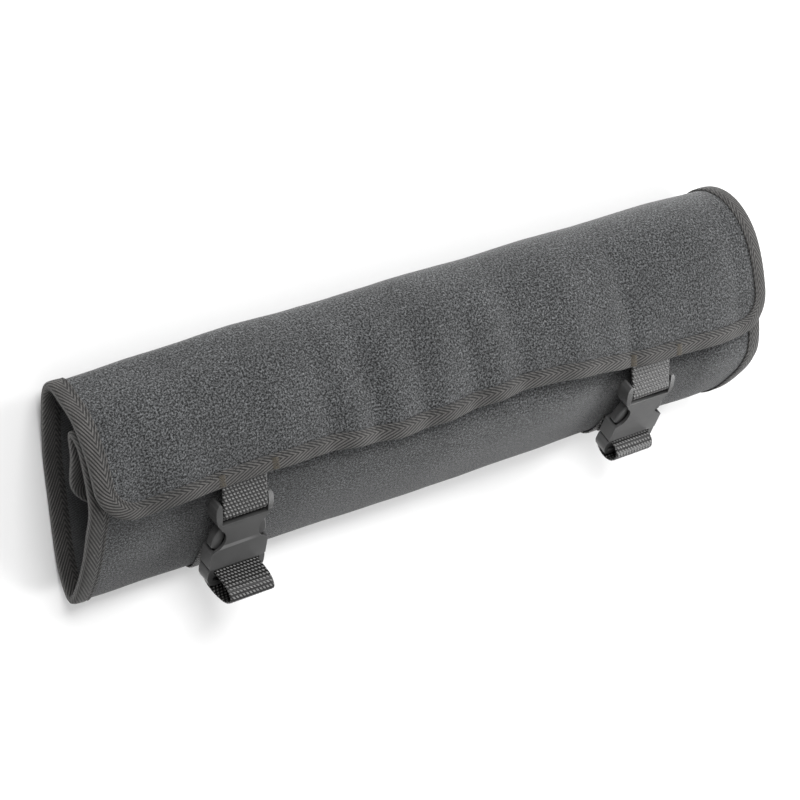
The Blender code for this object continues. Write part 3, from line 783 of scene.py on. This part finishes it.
def make_tape_stitching(name):
    """The seam that holds the tape, on both its sides, over the straps where they cross it."""
    stations = edge_stations(0.001)
    line = stations[:, :2] + STITCH_IN * stations[:, 2:]
    length = arc_lengths(line)[-1]
    places = np.linspace(0, length, round(length / STITCH_PITCH) + 1)
    from_inner, x = points_at(line, places).T
    on_flap = from_inner > SHEET_LENGTH - TAPE_WIDTH
    inside = np.full(len(x), -TAPE_IN + STITCH_SUNK)
    for strap in BOTH_STRAPS:
        crossed = on_flap & (abs(x - strap.x) < WEBBING_WIDTH / 2)
        inside[crossed] = -TAPE_IN - 2 * WEBBING_SEAT
    frames = stitch_frames(from_inner, x, TAPE_OUT - STITCH_SUNK, STITCH_LIFT)
    frames += stitch_frames(from_inner, x, inside, -STITCH_LIFT)
    return spread_copies(name, make_stitch(STITCH_LENGTH, THREAD), frames)


def make_bartacks(name):
    """Close zigzag stitches across the tape, at both sides of each strap."""
    depths = np.arange(*BARTACK_ENDS, BARTACK_PITCH)
    frames = []
    for strap in BOTH_STRAPS:
        for side in (-1, 1):
            middle = strap.x + side * (WEBBING_WIDTH / 2 + BARTACK_BESIDE)
            x = middle + np.array([-0.5, 0.5]) * BARTACK_WIDTH
            for i, depth in enumerate(depths):
                slant = np.array([-0.5, 0.5]) * BARTACK_PITCH * (-1) ** i
                from_inner = SHEET_LENGTH - depth + slant
                frames += stitch_frames(from_inner, x, TAPE_OUT, BARTACK_LIFT)
                frames += stitch_frames(from_inner, x, -TAPE_IN, -BARTACK_LIFT)
    return spread_copies(name, make_stitch(BARTACK_WIDTH, 0.9 * THREAD), frames)


def make_strap_seams(name):
    """A crossed rectangle of stitches where each lower strap is sewn to the back."""
    frames = []
    half = WEBBING_WIDTH / 2 - SEAM_INSET
    for strap in BOTH_STRAPS:
        tip = strap.bottom_share() * SHEET_LENGTH
        near, far = tip + SEAM_INSET, tip + STRAP_UNDER - SEAM_INSET
        corners = [(near, -half), (near, half), (far, half), (far, -half)]
        order = (0, 1, 2, 3, 0, 2, 3, 1)
        for a, b in zip(order, order[1:]):
            start, end = np.array(corners[a]), np.array(corners[b])
            count = max(2, round(np.linalg.norm(end - start) / STITCH_PITCH))
            line = start + np.linspace(0, 1, count + 1)[:, None] * (end - start)
            from_inner, x = line[:, 0], strap.x + line[:, 1]
            frames += stitch_frames(from_inner, x, OUTER_FACE + 2 * WEBBING_SEAT, STITCH_LIFT)
            frames += stitch_frames(from_inner, x, -LINING_FACE, -STITCH_LIFT)
    return spread_copies(name, make_stitch(STITCH_LENGTH, THREAD), frames)


# Webbing


def web_relief(along, across):
    """How far the woven dashes of the webbing stand up, from 0 to 1."""
    row = np.floor(along / WEB_ROW)
    in_row = along / WEB_ROW - row
    at = across / WEB_DASH + 0.5 * np.mod(row, 2) + WEB_SLANT * in_row
    return np.sin(math.pi * in_row) * abs(np.sin(math.pi * at)) ** 0.6


def make_webbing(name, strap, path_at):
    """A woven band between the paths of its two edges, with its rows and dashes raised."""
    half = WEBBING_WIDTH / 2
    left, right = (path_at(strap.x + side * half) for side in (-1, 1))
    count = round(arc_lengths((left + right) / 2)[-1] / WEB_ROW * 5)
    ends = [arc_lengths(path)[-1] for path in (left, right)]
    left = points_at(left, np.linspace(0, ends[0], count + 1))
    right = points_at(right, np.linspace(0, ends[1], count + 1))
    across = np.linspace(-half, half, WEBBING_COLUMNS)
    edge = WEBBING_WALL / 2
    ring = [(a, 1.0) for a in across] + [(a, -1.0) for a in across[::-1]]
    ring.append(ring[0])
    share = (np.array([a for a, _ in ring]) / WEBBING_WIDTH + 0.5)[:, None]
    middle = left[:, None] * (1 - share) + right[:, None] * share
    ways = np.gradient(middle, axis=0)
    ways /= np.linalg.norm(ways, axis=-1, keepdims=True)
    lift = np.stack([-ways[..., 1], ways[..., 0]], axis=-1)
    along = arc_lengths((left + right) / 2)[:, None]
    a = np.array([a for a, _ in ring])
    face = np.array([f for _, f in ring])
    rounded_edge = np.sqrt(np.clip(1 - np.clip((abs(a) - half + edge) / edge, 0, 1) ** 2, 0.06, 1))
    relief = web_relief(along + 0 * a, a * np.ones_like(along))
    height = (edge - WEB_RELIEF + WEB_RELIEF * relief) * rounded_edge * face
    place = middle + height[..., None] * lift
    x = strap.x + a + 0 * along
    places = np.concatenate([x[..., None], place], axis=-1)
    flat = np.stack([along + 0 * a, a + 0 * along], axis=-1)
    made = grid_on(name, places, flat, closed=True)
    mode("EDIT")
    bpy.ops.mesh.select_all(action="DESELECT")
    bpy.ops.mesh.select_mode(type="EDGE")
    bpy.ops.mesh.select_non_manifold()
    bpy.ops.mesh.edge_face_add()
    mode("OBJECT")
    return smooth(outwards(made), 60)


# Buckles, in their own frame: +X across, -Y down, +Z out


def both_sides(half):
    return list(half) + [(-a, d) for a, d in reversed(half)]


def make_plate(name, outline, low, high, rim=0.0):
    """A disc's rim moved to an outline in (across, down), drawn up and rounded at its rims."""
    deselect()
    bpy.ops.mesh.primitive_circle_add(vertices=len(outline), radius=1, fill_type="NGON")
    made = named(name)
    for vertex, (a, d) in zip(made.data.vertices, outline):
        vertex.co = (a, -d, low)
    edit_all()
    bpy.ops.mesh.extrude_region_move(TRANSFORM_OT_translate={"value": (0, 0, high - low)})
    bpy.ops.mesh.select_all(action="SELECT")
    bpy.ops.mesh.normals_make_consistent(inside=False)
    if rim:
        select_edges(made, lambda p, q: p.z == q.z)
        bpy.ops.mesh.bevel(offset=rim, segments=2, profile=0.5, affect="EDGES")
    mode("OBJECT")
    return made


def select_edges(made, wanted):
    """Selects the edges whose two ends pass a test, and leaves the piece in edit mode."""
    if bpy.context.mode != "OBJECT":
        mode("OBJECT")
    mode("EDIT")
    bpy.ops.mesh.select_mode(type="EDGE")
    bpy.ops.mesh.select_all(action="DESELECT")
    mode("OBJECT")
    mesh = made.data
    for edge in mesh.edges:
        edge.select = wanted(*(mesh.vertices[i].co for i in edge.vertices))
    mode("EDIT")


def make_block(name, across, down, out, rim=0.0):
    (left, right), (top, bottom) = across, down
    outline = [(left, top), (right, top), (right, bottom), (left, bottom)]
    return make_plate(name, outline, *out, rim=rim)


def cut(made, *cutters):
    for cutter in cutters:
        apply_modifier(made, "BOOLEAN", operation="DIFFERENCE", solver="EXACT", object=cutter)
        bpy.data.objects.remove(cutter)


def join_on(made, *others):
    for other in others:
        apply_modifier(made, "BOOLEAN", operation="UNION", solver="EXACT", object=other)
        bpy.data.objects.remove(other)


def round_edges(made, width):
    values = {"width": width, "segments": 3}
    apply_modifier(made, "BEVEL", limit_method="ANGLE", angle_limit=math.radians(40), **values)


def eased(half, steps):
    """The right half of an outline with its points joined by a smooth curve."""
    return [tuple(p) for p in smooth_curve(np.array(half), steps)]


def make_socket(name):
    """Two bent-back ears with the bar between them, then the hollow body with its windows."""
    half, front, length = BUCKLE_WIDTH / 2, BUCKLE_DEPTH / 2, SOCKET_LENGTH
    opening = STRAP_OPENING
    notch = half - NOTCH_DEPTH + NOTCH_RADIUS
    half_turn = math.asin((NOTCH_ENDS[1] - NOTCH_ENDS[0]) / 2 / NOTCH_RADIUS)
    middle = sum(NOTCH_ENDS) / 2
    arc = [
        (notch - NOTCH_RADIUS * math.cos(turn), middle + NOTCH_RADIUS * math.sin(turn))
        for turn in np.linspace(-half_turn, half_turn, 17)
    ]
    ear = eased(
        (
            (half - 0.0022, -EAR_LENGTH),
            (half - 0.0004, -0.80 * EAR_LENGTH),
            (half, -0.42 * EAR_LENGTH),
            (half - 0.0012, -0.02 * length),
            (arc[0][0] + 0.0002, arc[0][1] - 0.0010),
        ),
        4,
    )
    low_across, low_down = arc[-1]
    corner = ((low_across + 0.0008, low_down + 0.0003), (half - 0.0003, low_down + 0.0022))
    shoulder = eased(corner, 3)
    side = [(opening, -0.96 * EAR_LENGTH)] + ear + arc + shoulder
    outline = both_sides(side + [(half - 0.0003, 0.98 * length), (half - 0.0009, length)])
    made = make_plate(name, outline, -front, front)
    gap = make_block("gap", (-opening, opening), (-2 * EAR_LENGTH, 0.0), RIGHT_THROUGH)
    hollow = half - 1.1 * PLASTIC_WALL
    inner = front - PLASTIC_WALL
    hole = make_block("hole", (-hollow, hollow), (0.12 * length, 1.2 * length), (-inner, inner))
    cut(made, gap, hole)
    round_edges(made, SOCKET_RIM)
    for at in np.linspace(-EAR_LENGTH * 0.9, 0.0005, 9):
        edit_all()
        bpy.ops.mesh.bisect(plane_co=(0, -at, 0), plane_no=(0, 1, 0))
        mode("OBJECT")
    for vertex in made.data.vertices:
        down = -vertex.co.y
        if down < 0:
            share = down / EAR_LENGTH
            vertex.co.z = vertex.co.z * (1 - EAR_THINNED * share**2) - EAR_BENT * share**2
            if vertex.co.z > 0:
                outer = max(0.0, (abs(vertex.co.x) - opening) / (half - opening))
                vertex.co.z -= EAR_CORNER_DROP * outer**2 * min(1.0, -share * 2)
    join_on(made, make_bar("bar", opening))
    return made


def make_bar(name, opening):
    deselect()
    bpy.ops.mesh.primitive_cylinder_add(
        vertices=24,
        radius=BAR_RADIUS,
        depth=2 * opening + 0.002,
        location=(0, -BAR_DOWN, BAR_OUT),
        rotation=(0, math.pi / 2, 0),
    )
    made = named(name)
    bpy.ops.object.transform_apply()
    edit_all()
    for side in (-0.6, -0.2, 0.2, 0.6):
        bpy.ops.mesh.bisect(plane_co=(side * opening, 0, 0), plane_no=(1, 0, 0))
        bpy.ops.mesh.select_all(action="SELECT")
    mode("OBJECT")
    return made


def make_prong(name):
    """The slotted base with its grip ribs, the two springy arms and the guide between them."""
    half, front = BUCKLE_WIDTH / 2, BUCKLE_DEPTH / 2 - PRONG_INSET
    top, length = SOCKET_LENGTH + SEAT, SOCKET_LENGTH
    end = top + PRONG_BASE_LENGTH
    side = eased(
        (
            (half - 0.0001, top + 0.0010),
            (half, top + 0.45 * PRONG_BASE_LENGTH),
            (half - 0.0008, end - 0.0046),
            (half - 0.0026, end - 0.0016),
            (half - 0.0062, end),
        ),
        4,
    )
    made = make_plate(name, both_sides([(half - 0.0006, top)] + side), -front, front)
    opening = STRAP_OPENING
    slots = [
        make_block("slot", (-opening, opening), (start, start + SLOT_LENGTH), RIGHT_THROUGH)
        for start in (SLOT_DOWN - SLOT_LENGTH / 2, SLOT_DOWN + SLOT_LENGTH / 2 + SLOT_RIB)
    ]
    cut(made, *slots)
    round_edges(made, PRONG_RIM)
    inner = BUCKLE_DEPTH / 2 - PLASTIC_WALL - 2 * SEAT
    hollow = half - 1.1 * PLASTIC_WALL - 2 * SEAT
    middle, reach = sum(NOTCH_ENDS) / 2, (NOTCH_ENDS[1] - NOTCH_ENDS[0]) / 2
    notch = half - NOTCH_DEPTH
    lens = eased(
        (
            (hollow - 0.0044, 0.55 * length),
            (notch - 0.0006, middle),
            (notch + 0.0002, middle - 0.7 * reach),
            (notch + 0.0024, middle - 0.98 * reach),
            (half - 0.0036, middle - 0.62 * reach),
            (half - 0.0018, middle - 0.15 * reach),
            (half - 0.0009, middle + 0.40 * reach),
            (half - 0.0008, NOTCH_ENDS[1] - ARM_SEAT),
        ),
        4,
    )
    arm = [(hollow - 0.0036, top + 0.001)] + lens
    arm += [(hollow - 0.0008, NOTCH_ENDS[1] + 0.0010), (hollow - 0.0008, top + 0.001)]
    for side in (-1, 1):
        shape = make_plate("arm", [(side * a, d) for a, d in arm], -inner, inner)
        outwards(shape)
        round_edges(shape, ARM_RIM)
        join_on(made, shape)
    across, down = (-0.0016, 0.0016), (0.25 * length, top + 0.001)
    join_on(made, make_block("guide", across, down, (-0.6 * inner, 0.6 * inner), rim=0.0005))
    return made


def make_buckle(strap, plastic):
    for part, make in (("socket", make_socket), ("prong", make_prong)):
        made = outwards(make(f"{part}_{strap.side}"))
        made.data.transform(strap.matrix())
        made.data.update()
        apply_modifier(smooth(made, 30), "WEIGHTED_NORMAL", keep_sharp=True)
        dressed(made, plastic, "buckle_plastic", f"buckle_{part}_{strap.side}")


# Finishes: small node groups for what the materials share, then one function to each material


class Tree:
    """A node tree with short calls, each of which adds a node and gives back its result."""

    def __init__(self, tree):
        self.tree = tree

    def add(self, kind, values=None, **settings):
        node = self.tree.nodes.new(kind)
        for name, value in settings.items():
            setattr(node, name, value)
        for name, value in (values or {}).items():
            if isinstance(value, bpy.types.NodeSocket):
                self.tree.links.new(value, node.inputs[name])
            else:
                node.inputs[name].default_value = value
        return node

    def math(self, operation, *values):
        return self.add("ShaderNodeMath", dict(enumerate(values)), operation=operation).outputs[0]

    def plus(self, one, other):
        return self.math("ADD", one, other)

    def minus(self, one, other):
        return self.math("SUBTRACT", one, other)

    def times(self, one, other):
        return self.math("MULTIPLY", one, other)

    def over(self, one, other):
        return self.math("DIVIDE", one, other)

    def unsigned(self, value):
        return self.math("ABSOLUTE", value)

    def scaled(self, vector, by):
        values = {0: vector, "Scale": by}
        return self.add("ShaderNodeVectorMath", values, operation="SCALE").outputs[0]

    def mixed(self, share, low, high):
        return self.add("ShaderNodeMix", {0: share, 2: low, 3: high}).outputs[0]

    def blend(self, share, low, high):
        """A colour this share of the way from one to another."""
        return self.add("ShaderNodeMix", {0: share, 6: low, 7: high}, data_type="RGBA").outputs[2]

    def spread(self, value, low, high, to_low=0.0, to_high=1.0):
        values = {0: value, 1: low, 2: high, 3: to_low, 4: to_high}
        return self.add("ShaderNodeMapRange", values).outputs[0]

    def parts(self, place):
        return self.add("ShaderNodeSeparateXYZ", {0: place}).outputs

    def together(self, *values):
        return self.add("ShaderNodeCombineXYZ", dict(enumerate(values))).outputs[0]

    def speckle(self, place, per_metre, detail=1.0, roughness=0.5):
        values = {"Vector": place, "Scale": per_metre, "Detail": detail, "Roughness": roughness}
        return self.add("ShaderNodeTexNoise", values).outputs[0]

    def ridge(self, phase):
        """Rounded ridges, one to each whole number, from 0 in the grooves to 1 on the crests."""
        return self.unsigned(self.math("SINE", self.times(phase, math.pi)))

    def group(self, group, values):
        return self.add("ShaderNodeGroup", values, node_tree=group).outputs


GROUPS = {}


def group_of(make):
    """Builds a node group once, from a function named after it."""
    name = make.__name__.replace("_", " ")
    if name not in GROUPS:
        group = bpy.data.node_groups.new(name, "ShaderNodeTree")
        kinds = {"Place": "Vector", "Light": "Color", "Dark": "Color", "Color": "Color"}
        given, results = make.sockets
        for in_out, names in (("INPUT", given), ("OUTPUT", results)):
            for socket in names:
                kind = f"NodeSocket{kinds.get(socket, 'Float')}"
                group.interface.new_socket(name=socket, in_out=in_out, socket_type=kind)
        tree = Tree(group)
        source = tree.add("NodeGroupInput").outputs
        made = make(tree, {socket: source[socket] for socket in given})
        tree.add("NodeGroupOutput", made)
        GROUPS[name] = group
    return GROUPS[name]


def sockets(given, results):
    def mark(make):
        make.sockets = (given.split(), results.split())
        return make

    return mark


@sockets("Place Thread Dark Light", "Color Height")
def heather_weave(tree, given):
    """A plain weave of mixed light and dark yarns, with painted shade in the grooves between the
    threads.
    """
    threads = tree.scaled(given["Place"], tree.over(1.0, given["Thread"]))
    u, v, _ = tree.parts(threads)
    warp, weft = tree.math("FLOOR", u), tree.math("FLOOR", v)
    weft_over = tree.math("FLOORED_MODULO", tree.plus(warp, weft), 2.0)
    long_u, long_v = tree.times(u, 0.4), tree.times(v, 0.4)
    far_warp, far_weft = tree.times(warp, 5.3), tree.times(weft, 5.3)
    warp_tone = tree.speckle(tree.together(far_warp, long_v, 0.0), 1.0, 0.0)
    weft_tone = tree.speckle(tree.together(long_u, far_weft, 9.0), 1.0, 0.0)
    lines = tree.mixed(weft_over, warp_tone, weft_tone)
    grains = tree.speckle(threads, 0.52, 1.0, 0.7)
    tone = tree.plus(tree.times(lines, 0.30), tree.times(grains, 0.70))
    height = tree.mixed(weft_over, tree.ridge(u), tree.ridge(v))
    light = tree.math("POWER", tree.spread(tone, 0.39, 0.69), 1.3)
    # Painted shade: the yarn tone is darkened to 0.7 of itself in the grooves between threads.
    shaded = tree.times(light, tree.spread(height, 0.0, 1.0, 0.7, 1.0))
    raised = tree.plus(tree.times(height, 0.5), tree.times(light, 0.5))
    return {"Color": tree.blend(shaded, given["Dark"], given["Light"]), "Height": raised}


@sockets("Place Pitch Dark Light", "Color Height")
def twill_lines(tree, given):
    """Fine ridges that run slantwise over the cloth, with painted shade darkening the grooves
    between them.
    """
    u, v, _ = tree.parts(given["Place"])
    broken = tree.times(tree.speckle(given["Place"], 900.0, 0.0), 0.5)
    slant = tree.over(tree.plus(u, tree.times(v, 1.3)), given["Pitch"])
    height = tree.ridge(tree.plus(slant, broken))
    yarns = tree.speckle(given["Place"], 1400.0)
    # Painted shade: the colour goes from the dark grey in the grooves to the light grey on the
    # crests.
    tone = tree.times(height, tree.spread(yarns, 0.3, 0.7, 0.4, 1.0))
    return {"Color": tree.blend(tone, given["Dark"], given["Light"]), "Height": height}


@sockets("Place Pitch Turn Dark Light", "Color Height")
def herringbone(tree, given):
    """Ribs that slant away from the fold, and turn back beyond a line near the inner edge.
    Painted shade darkens the grooves between the ribs, and a painted highlight runs along the fold.
    """
    run, across, _ = tree.parts(given["Place"])
    beyond = tree.unsigned(tree.minus(tree.unsigned(across), given["Turn"]))
    slant = tree.plus(tree.times(run, RIB_ALONG), tree.times(beyond, -RIB_ACROSS))
    height = tree.ridge(tree.over(slant, given["Pitch"]))
    # Painted highlight: a bright band along the tape's fold, within about a millimetre of it.
    rim = tree.spread(tree.unsigned(across), 0.0004, 0.0009, 1.0, 0.0)
    yarns = tree.speckle(given["Place"], 1500.0, 1.0)
    # Painted shade: the grooves between the ribs go to the dark grey.
    tone = tree.times(tree.math("POWER", height, 2.2), tree.spread(yarns, 0.3, 0.7, 0.45, 1.0))
    fold_highlight_tone = tree.spread(yarns, 0.42, 0.60, 0.2, 1.2)
    tone = tree.mixed(rim, tone, fold_highlight_tone)
    return {"Color": tree.blend(tone, given["Dark"], given["Light"]), "Height": height}


@sockets("Place Row Dash Dark Light", "Color Height")
def woven_dashes(tree, given):
    """Rows of short slanted dashes, each row set over by half a dash, with painted shade in the
    gaps between them.
    """
    along, across, _ = tree.parts(given["Place"])
    at_row = tree.over(along, given["Row"])
    row = tree.math("FLOOR", at_row)
    in_row = tree.math("FRACT", at_row)
    over = tree.times(tree.math("FLOORED_MODULO", row, 2.0), 0.5)
    at_dash = tree.plus(tree.over(across, given["Dash"]), over)
    slanted = tree.plus(at_dash, tree.times(in_row, WEB_SLANT))
    rows = tree.ridge(at_row)
    dashes = tree.ridge(slanted)
    # Painted shade: the gaps between rows and dashes go to the dark grey.
    tone = tree.times(tree.spread(rows, 0.50, 0.95), tree.spread(dashes, 0.50, 0.88))
    fibres = tree.spread(tree.speckle(given["Place"], 2600.0, 1.0), 0.3, 0.7, 0.55, 1.0)
    tone = tree.times(tone, fibres)
    return {"Color": tree.blend(tone, given["Dark"], given["Light"]), "Height": tone}


@sockets("Color Place Amount", "Color")
def uneven_tone(tree, given):
    """Slow changes of tone, as handling and the light dye of a cloth leave them."""
    slow = tree.plus(tree.speckle(given["Place"], 22.0), tree.speckle(given["Place"], 140.0, 3.0))
    low = tree.minus(1.0, given["Amount"])
    high = tree.plus(1.0, given["Amount"])
    share = tree.spread(slow, 0.75, 1.25, low, high)
    return {"Color": tree.scaled(given["Color"], share)}


@sockets("Color Light Amount", "Color")
def painted_edge_highlight(tree, given):
    """Painted highlight: a lighter tone where an edge stands out, in place of the light that
    catches the rims.
    """
    stands_out = tree.add("ShaderNodeNewGeometry").outputs["Pointiness"]
    mask = tree.times(tree.spread(stands_out, 0.525, 0.58), given["Amount"])
    return {"Color": tree.blend(mask, given["Color"], given["Light"])}


@sockets("Color Place Light Amount", "Color")
def lint(tree, given):
    """Small pale fibres and specks of dust."""
    stretched = tree.add("ShaderNodeMapping", {"Vector": given["Place"], "Scale": (1.0, 0.35, 1.0)})
    values = {"Vector": stretched.outputs[0], "Scale": 210.0}
    specks = tree.add("ShaderNodeTexVoronoi", values).outputs["Distance"]
    mask = tree.times(tree.spread(specks, 0.03, 0.07, 1.0, 0.0), given["Amount"])
    return {"Color": tree.blend(mask, given["Color"], given["Light"])}


@sockets("Place Grain", "Height Tone")
def moulded_grain(tree, given):
    """The fine even texture of a satin mould."""
    fine = tree.speckle(given["Place"], tree.over(1.0, given["Grain"]), 2.0, 0.6)
    return {"Height": fine, "Tone": tree.speckle(given["Place"], 90.0, 2.0)}


def grey(value, warmth=0.0):
    """A grey, a little warm or a little cool."""
    return (value * (1 + warmth), value, value * (1 - warmth), 1.0)


def new_material(name, **constants):
    """A material with its Principled shader's constants set, and its tree."""
    made = bpy.data.materials.new(name)
    made.use_nodes = True
    shader = made.node_tree.nodes["Principled BSDF"]
    for socket, value in constants.items():
        shader.inputs[socket.replace("_", " ")].default_value = value
    return made, Tree(made.node_tree), shader


def joined(tree, shader, color, height, depth):
    """Links a colour and a relief this deep to a shader."""
    tree.tree.links.new(color, shader.inputs["Base Color"])
    values = {"Height": height, "Distance": depth, "Strength": 1.0}
    tree.tree.links.new(tree.add("ShaderNodeBump", values).outputs[0], shader.inputs["Normal"])


def own_place(tree):
    return tree.add("ShaderNodeTexCoord").outputs["Object"]


def toned(tree, color, place, amount):
    values = {"Color": color, "Place": place, "Amount": amount}
    return tree.group(group_of(uneven_tone), values)["Color"]


CLOTHS = {
    # weave and its sizes, dark and light grey with their warmth, change of tone, lint's grey and
    # amount, depth of the relief, the shader's constants; for the lining, the tape and the webbing
    # the dark grey is painted shade in the grooves of the weave
    "heather cloth": (
        (heather_weave, {"Thread": 0.00062}),
        ((0.004, -0.03), (0.170, -0.03), 0.12, (0.35, 0.5), 0.00018),
        dict(Roughness=0.92, Sheen_Weight=0.25, Sheen_Roughness=0.45, Specular_IOR_Level=0.2),
    ),
    "lining twill": (
        (twill_lines, {"Pitch": 0.0015}),
        ((0.012,), (0.190, -0.02), 0.15, None, 0.00015),
        dict(Roughness=0.8, Specular_IOR_Level=0.3),
    ),
    "ribbed tape": (
        (herringbone, {"Pitch": RIB_PITCH, "Turn": RIB_TURN}),
        ((0.003, 0.08), (0.100, 0.04), 0.2, (0.30, 0.3), 0.00030),
        dict(Roughness=0.7, Sheen_Weight=0.1, Specular_IOR_Level=0.35),
    ),
    "woven webbing": (
        (woven_dashes, {"Row": WEB_ROW, "Dash": WEB_DASH}),
        ((0.001, 0.1), (0.185, 0.01), 0.15, None, 0.00020),
        dict(Roughness=0.42, Specular_IOR_Level=0.5),
    ),
}


def cloth_finish(name):
    (weave, sizes), (dark, light, change, dust, depth), constants = CLOTHS[name]
    made, tree, shader = new_material(name, **constants)
    place = tree.add("ShaderNodeUVMap", uv_map="flat").outputs[0]
    values = {"Place": place, "Dark": grey(*dark), "Light": grey(*light), **sizes}
    woven = tree.group(group_of(weave), values)
    color = toned(tree, woven["Color"], place, change)
    if dust:
        values = {"Color": color, "Place": place, "Light": grey(dust[0]), "Amount": dust[1]}
        color = tree.group(group_of(lint), values)["Color"]
    joined(tree, shader, color, woven["Height"], depth)
    return made


def buckle_plastic():
    made, tree, shader = new_material("buckle plastic", Roughness=0.4, Specular_IOR_Level=0.5)
    grain = tree.group(group_of(moulded_grain), {"Place": own_place(tree), "Grain": 0.0005})
    base = tree.blend(tree.spread(grain["Tone"], 0.3, 0.7), grey(0.033), grey(0.041))
    # The pale grey along the buckle's edges is a painted highlight.
    values = {"Color": base, "Light": grey(0.16), "Amount": 0.6}
    edge_highlit = tree.group(group_of(painted_edge_highlight), values)
    joined(tree, shader, edge_highlit["Color"], grain["Height"], 0.00002)
    roughness = tree.spread(grain["Tone"], 0.3, 0.7, 0.34, 0.46)
    tree.tree.links.new(roughness, shader.inputs["Roughness"])
    return made


def sewing_thread(name, dark, light):
    made, tree, shader = new_material(name, Roughness=0.55)
    place = own_place(tree)
    twist = tree.speckle(place, 2200.0, 1.0)
    color = tree.blend(tree.spread(twist, 0.35, 0.65), dark, light)
    joined(tree, shader, toned(tree, color, place, 0.2), twist, 0.00006)
    return made


def pale_floor():
    made, tree, shader = new_material("pale floor", Roughness=0.9, Specular_IOR_Level=0.2)
    color = toned(tree, grey(FLOOR_TONE), own_place(tree), 0.004)
    tree.tree.links.new(color, shader.inputs["Base Color"])
    return made


# The stage, the light and the camera

CAMERA_PLACE = Vector((-0.842367, 0.562988, 1.246305))
CAMERA_RIGHT = Vector((0.810046, -0.068214, 0.582385))
CAMERA_UP = Vector((0.260451, 0.931712, -0.253135))
CAMERA_LENS = 117.0
WORLD_STRENGTH = 0.48
LIGHTS = (
    # name, place, size, power
    ("window", (-0.3, 1.5, 1.5), (1.4, 1.0), 48),
    ("room side", (1.6, 0.7, 0.9), (0.5, 0.5), 15),
    ("front right", (1.0, -0.6, 0.8), (0.6, 0.6), 13),
)


def make_camera():
    data = bpy.data.cameras.new("camera")
    data.lens = CAMERA_LENS
    data.sensor_width = 36.0
    data.clip_end = 20.0
    made = bpy.data.objects.new("camera", data)
    bpy.context.scene.collection.objects.link(made)
    right = CAMERA_RIGHT.normalized()
    back = right.cross(CAMERA_UP).normalized()
    up = back.cross(right)
    turn = Matrix((right, up, back)).transposed().to_4x4()
    made.matrix_world = Matrix.Translation(CAMERA_PLACE) @ turn
    bpy.context.scene.camera = made


def make_light(name, place, size, power):
    data = bpy.data.lights.new(name, "AREA")
    data.shape = "RECTANGLE"
    data.size, data.size_y = size
    data.energy = power
    made = bpy.data.objects.new(name, data)
    bpy.context.scene.collection.objects.link(made)
    made.location = place
    made.rotation_euler = (-Vector(place)).to_track_quat("-Z", "Y").to_euler()


def make_stage():
    deselect()
    bpy.ops.mesh.primitive_plane_add(size=1, location=(0, 0, 0))
    floor = named("floor")
    mode("EDIT")
    bpy.ops.transform.resize(value=(6, 6, 1))
    mode("OBJECT")
    floor.data.materials.append(pale_floor())
    world = bpy.data.worlds.new("soft room")
    world.use_nodes = True
    background = world.node_tree.nodes["Background"].inputs
    background["Color"].default_value = (1, 1, 1, 1)
    background["Strength"].default_value = WORLD_STRENGTH
    bpy.context.scene.world = world
    for light in LIGHTS:
        make_light(*light)


def main():
    scene = bpy.context.scene
    scene.view_settings.view_transform = "Standard"
    make_camera()
    make_stage()
    heather, twill, ribbed, woven = [cloth_finish(name) for name in CLOTHS]
    plastic = buckle_plastic()
    black = sewing_thread("black thread", grey(0.004), grey(0.030))
    olive = sewing_thread("olive thread", grey(0.010, 0.2), (0.090, 0.074, 0.050, 1.0))

    outer = make_cloth("outer_cloth", SEAT / 2, OUTER_FACE, *OUTER_GRID)
    dressed(outer, heather, "outer_fabric", "outer_fabric")
    lining = make_cloth("lining_cloth", -LINING_FACE, -SEAT / 2, *LINING_GRID)
    dressed(lining, twill, "lining", "lining")
    tape = dressed(make_tape("tape"), ribbed, "binding_tape", "edge_binding")
    stitching = dressed(make_tape_stitching("tape_stitching"), black, "binding_tape")
    bartacks = dressed(make_bartacks("bartacks"), olive, "binding_tape")
    seams = dressed(make_strap_seams("strap_seams"), black, "webbing")
    for strap in BOTH_STRAPS:
        for part, path_at in (("upper", strap.upper_path), ("lower", strap.lower_path)):
            band = make_webbing(f"webbing_{part}_{strap.side}", strap, path_at)
            dressed(band, woven, "webbing", f"strap_{part}_{strap.side}")
            length = arc_lengths(path_at(strap.x))[-1]
        make_buckle(strap, plastic)


main()
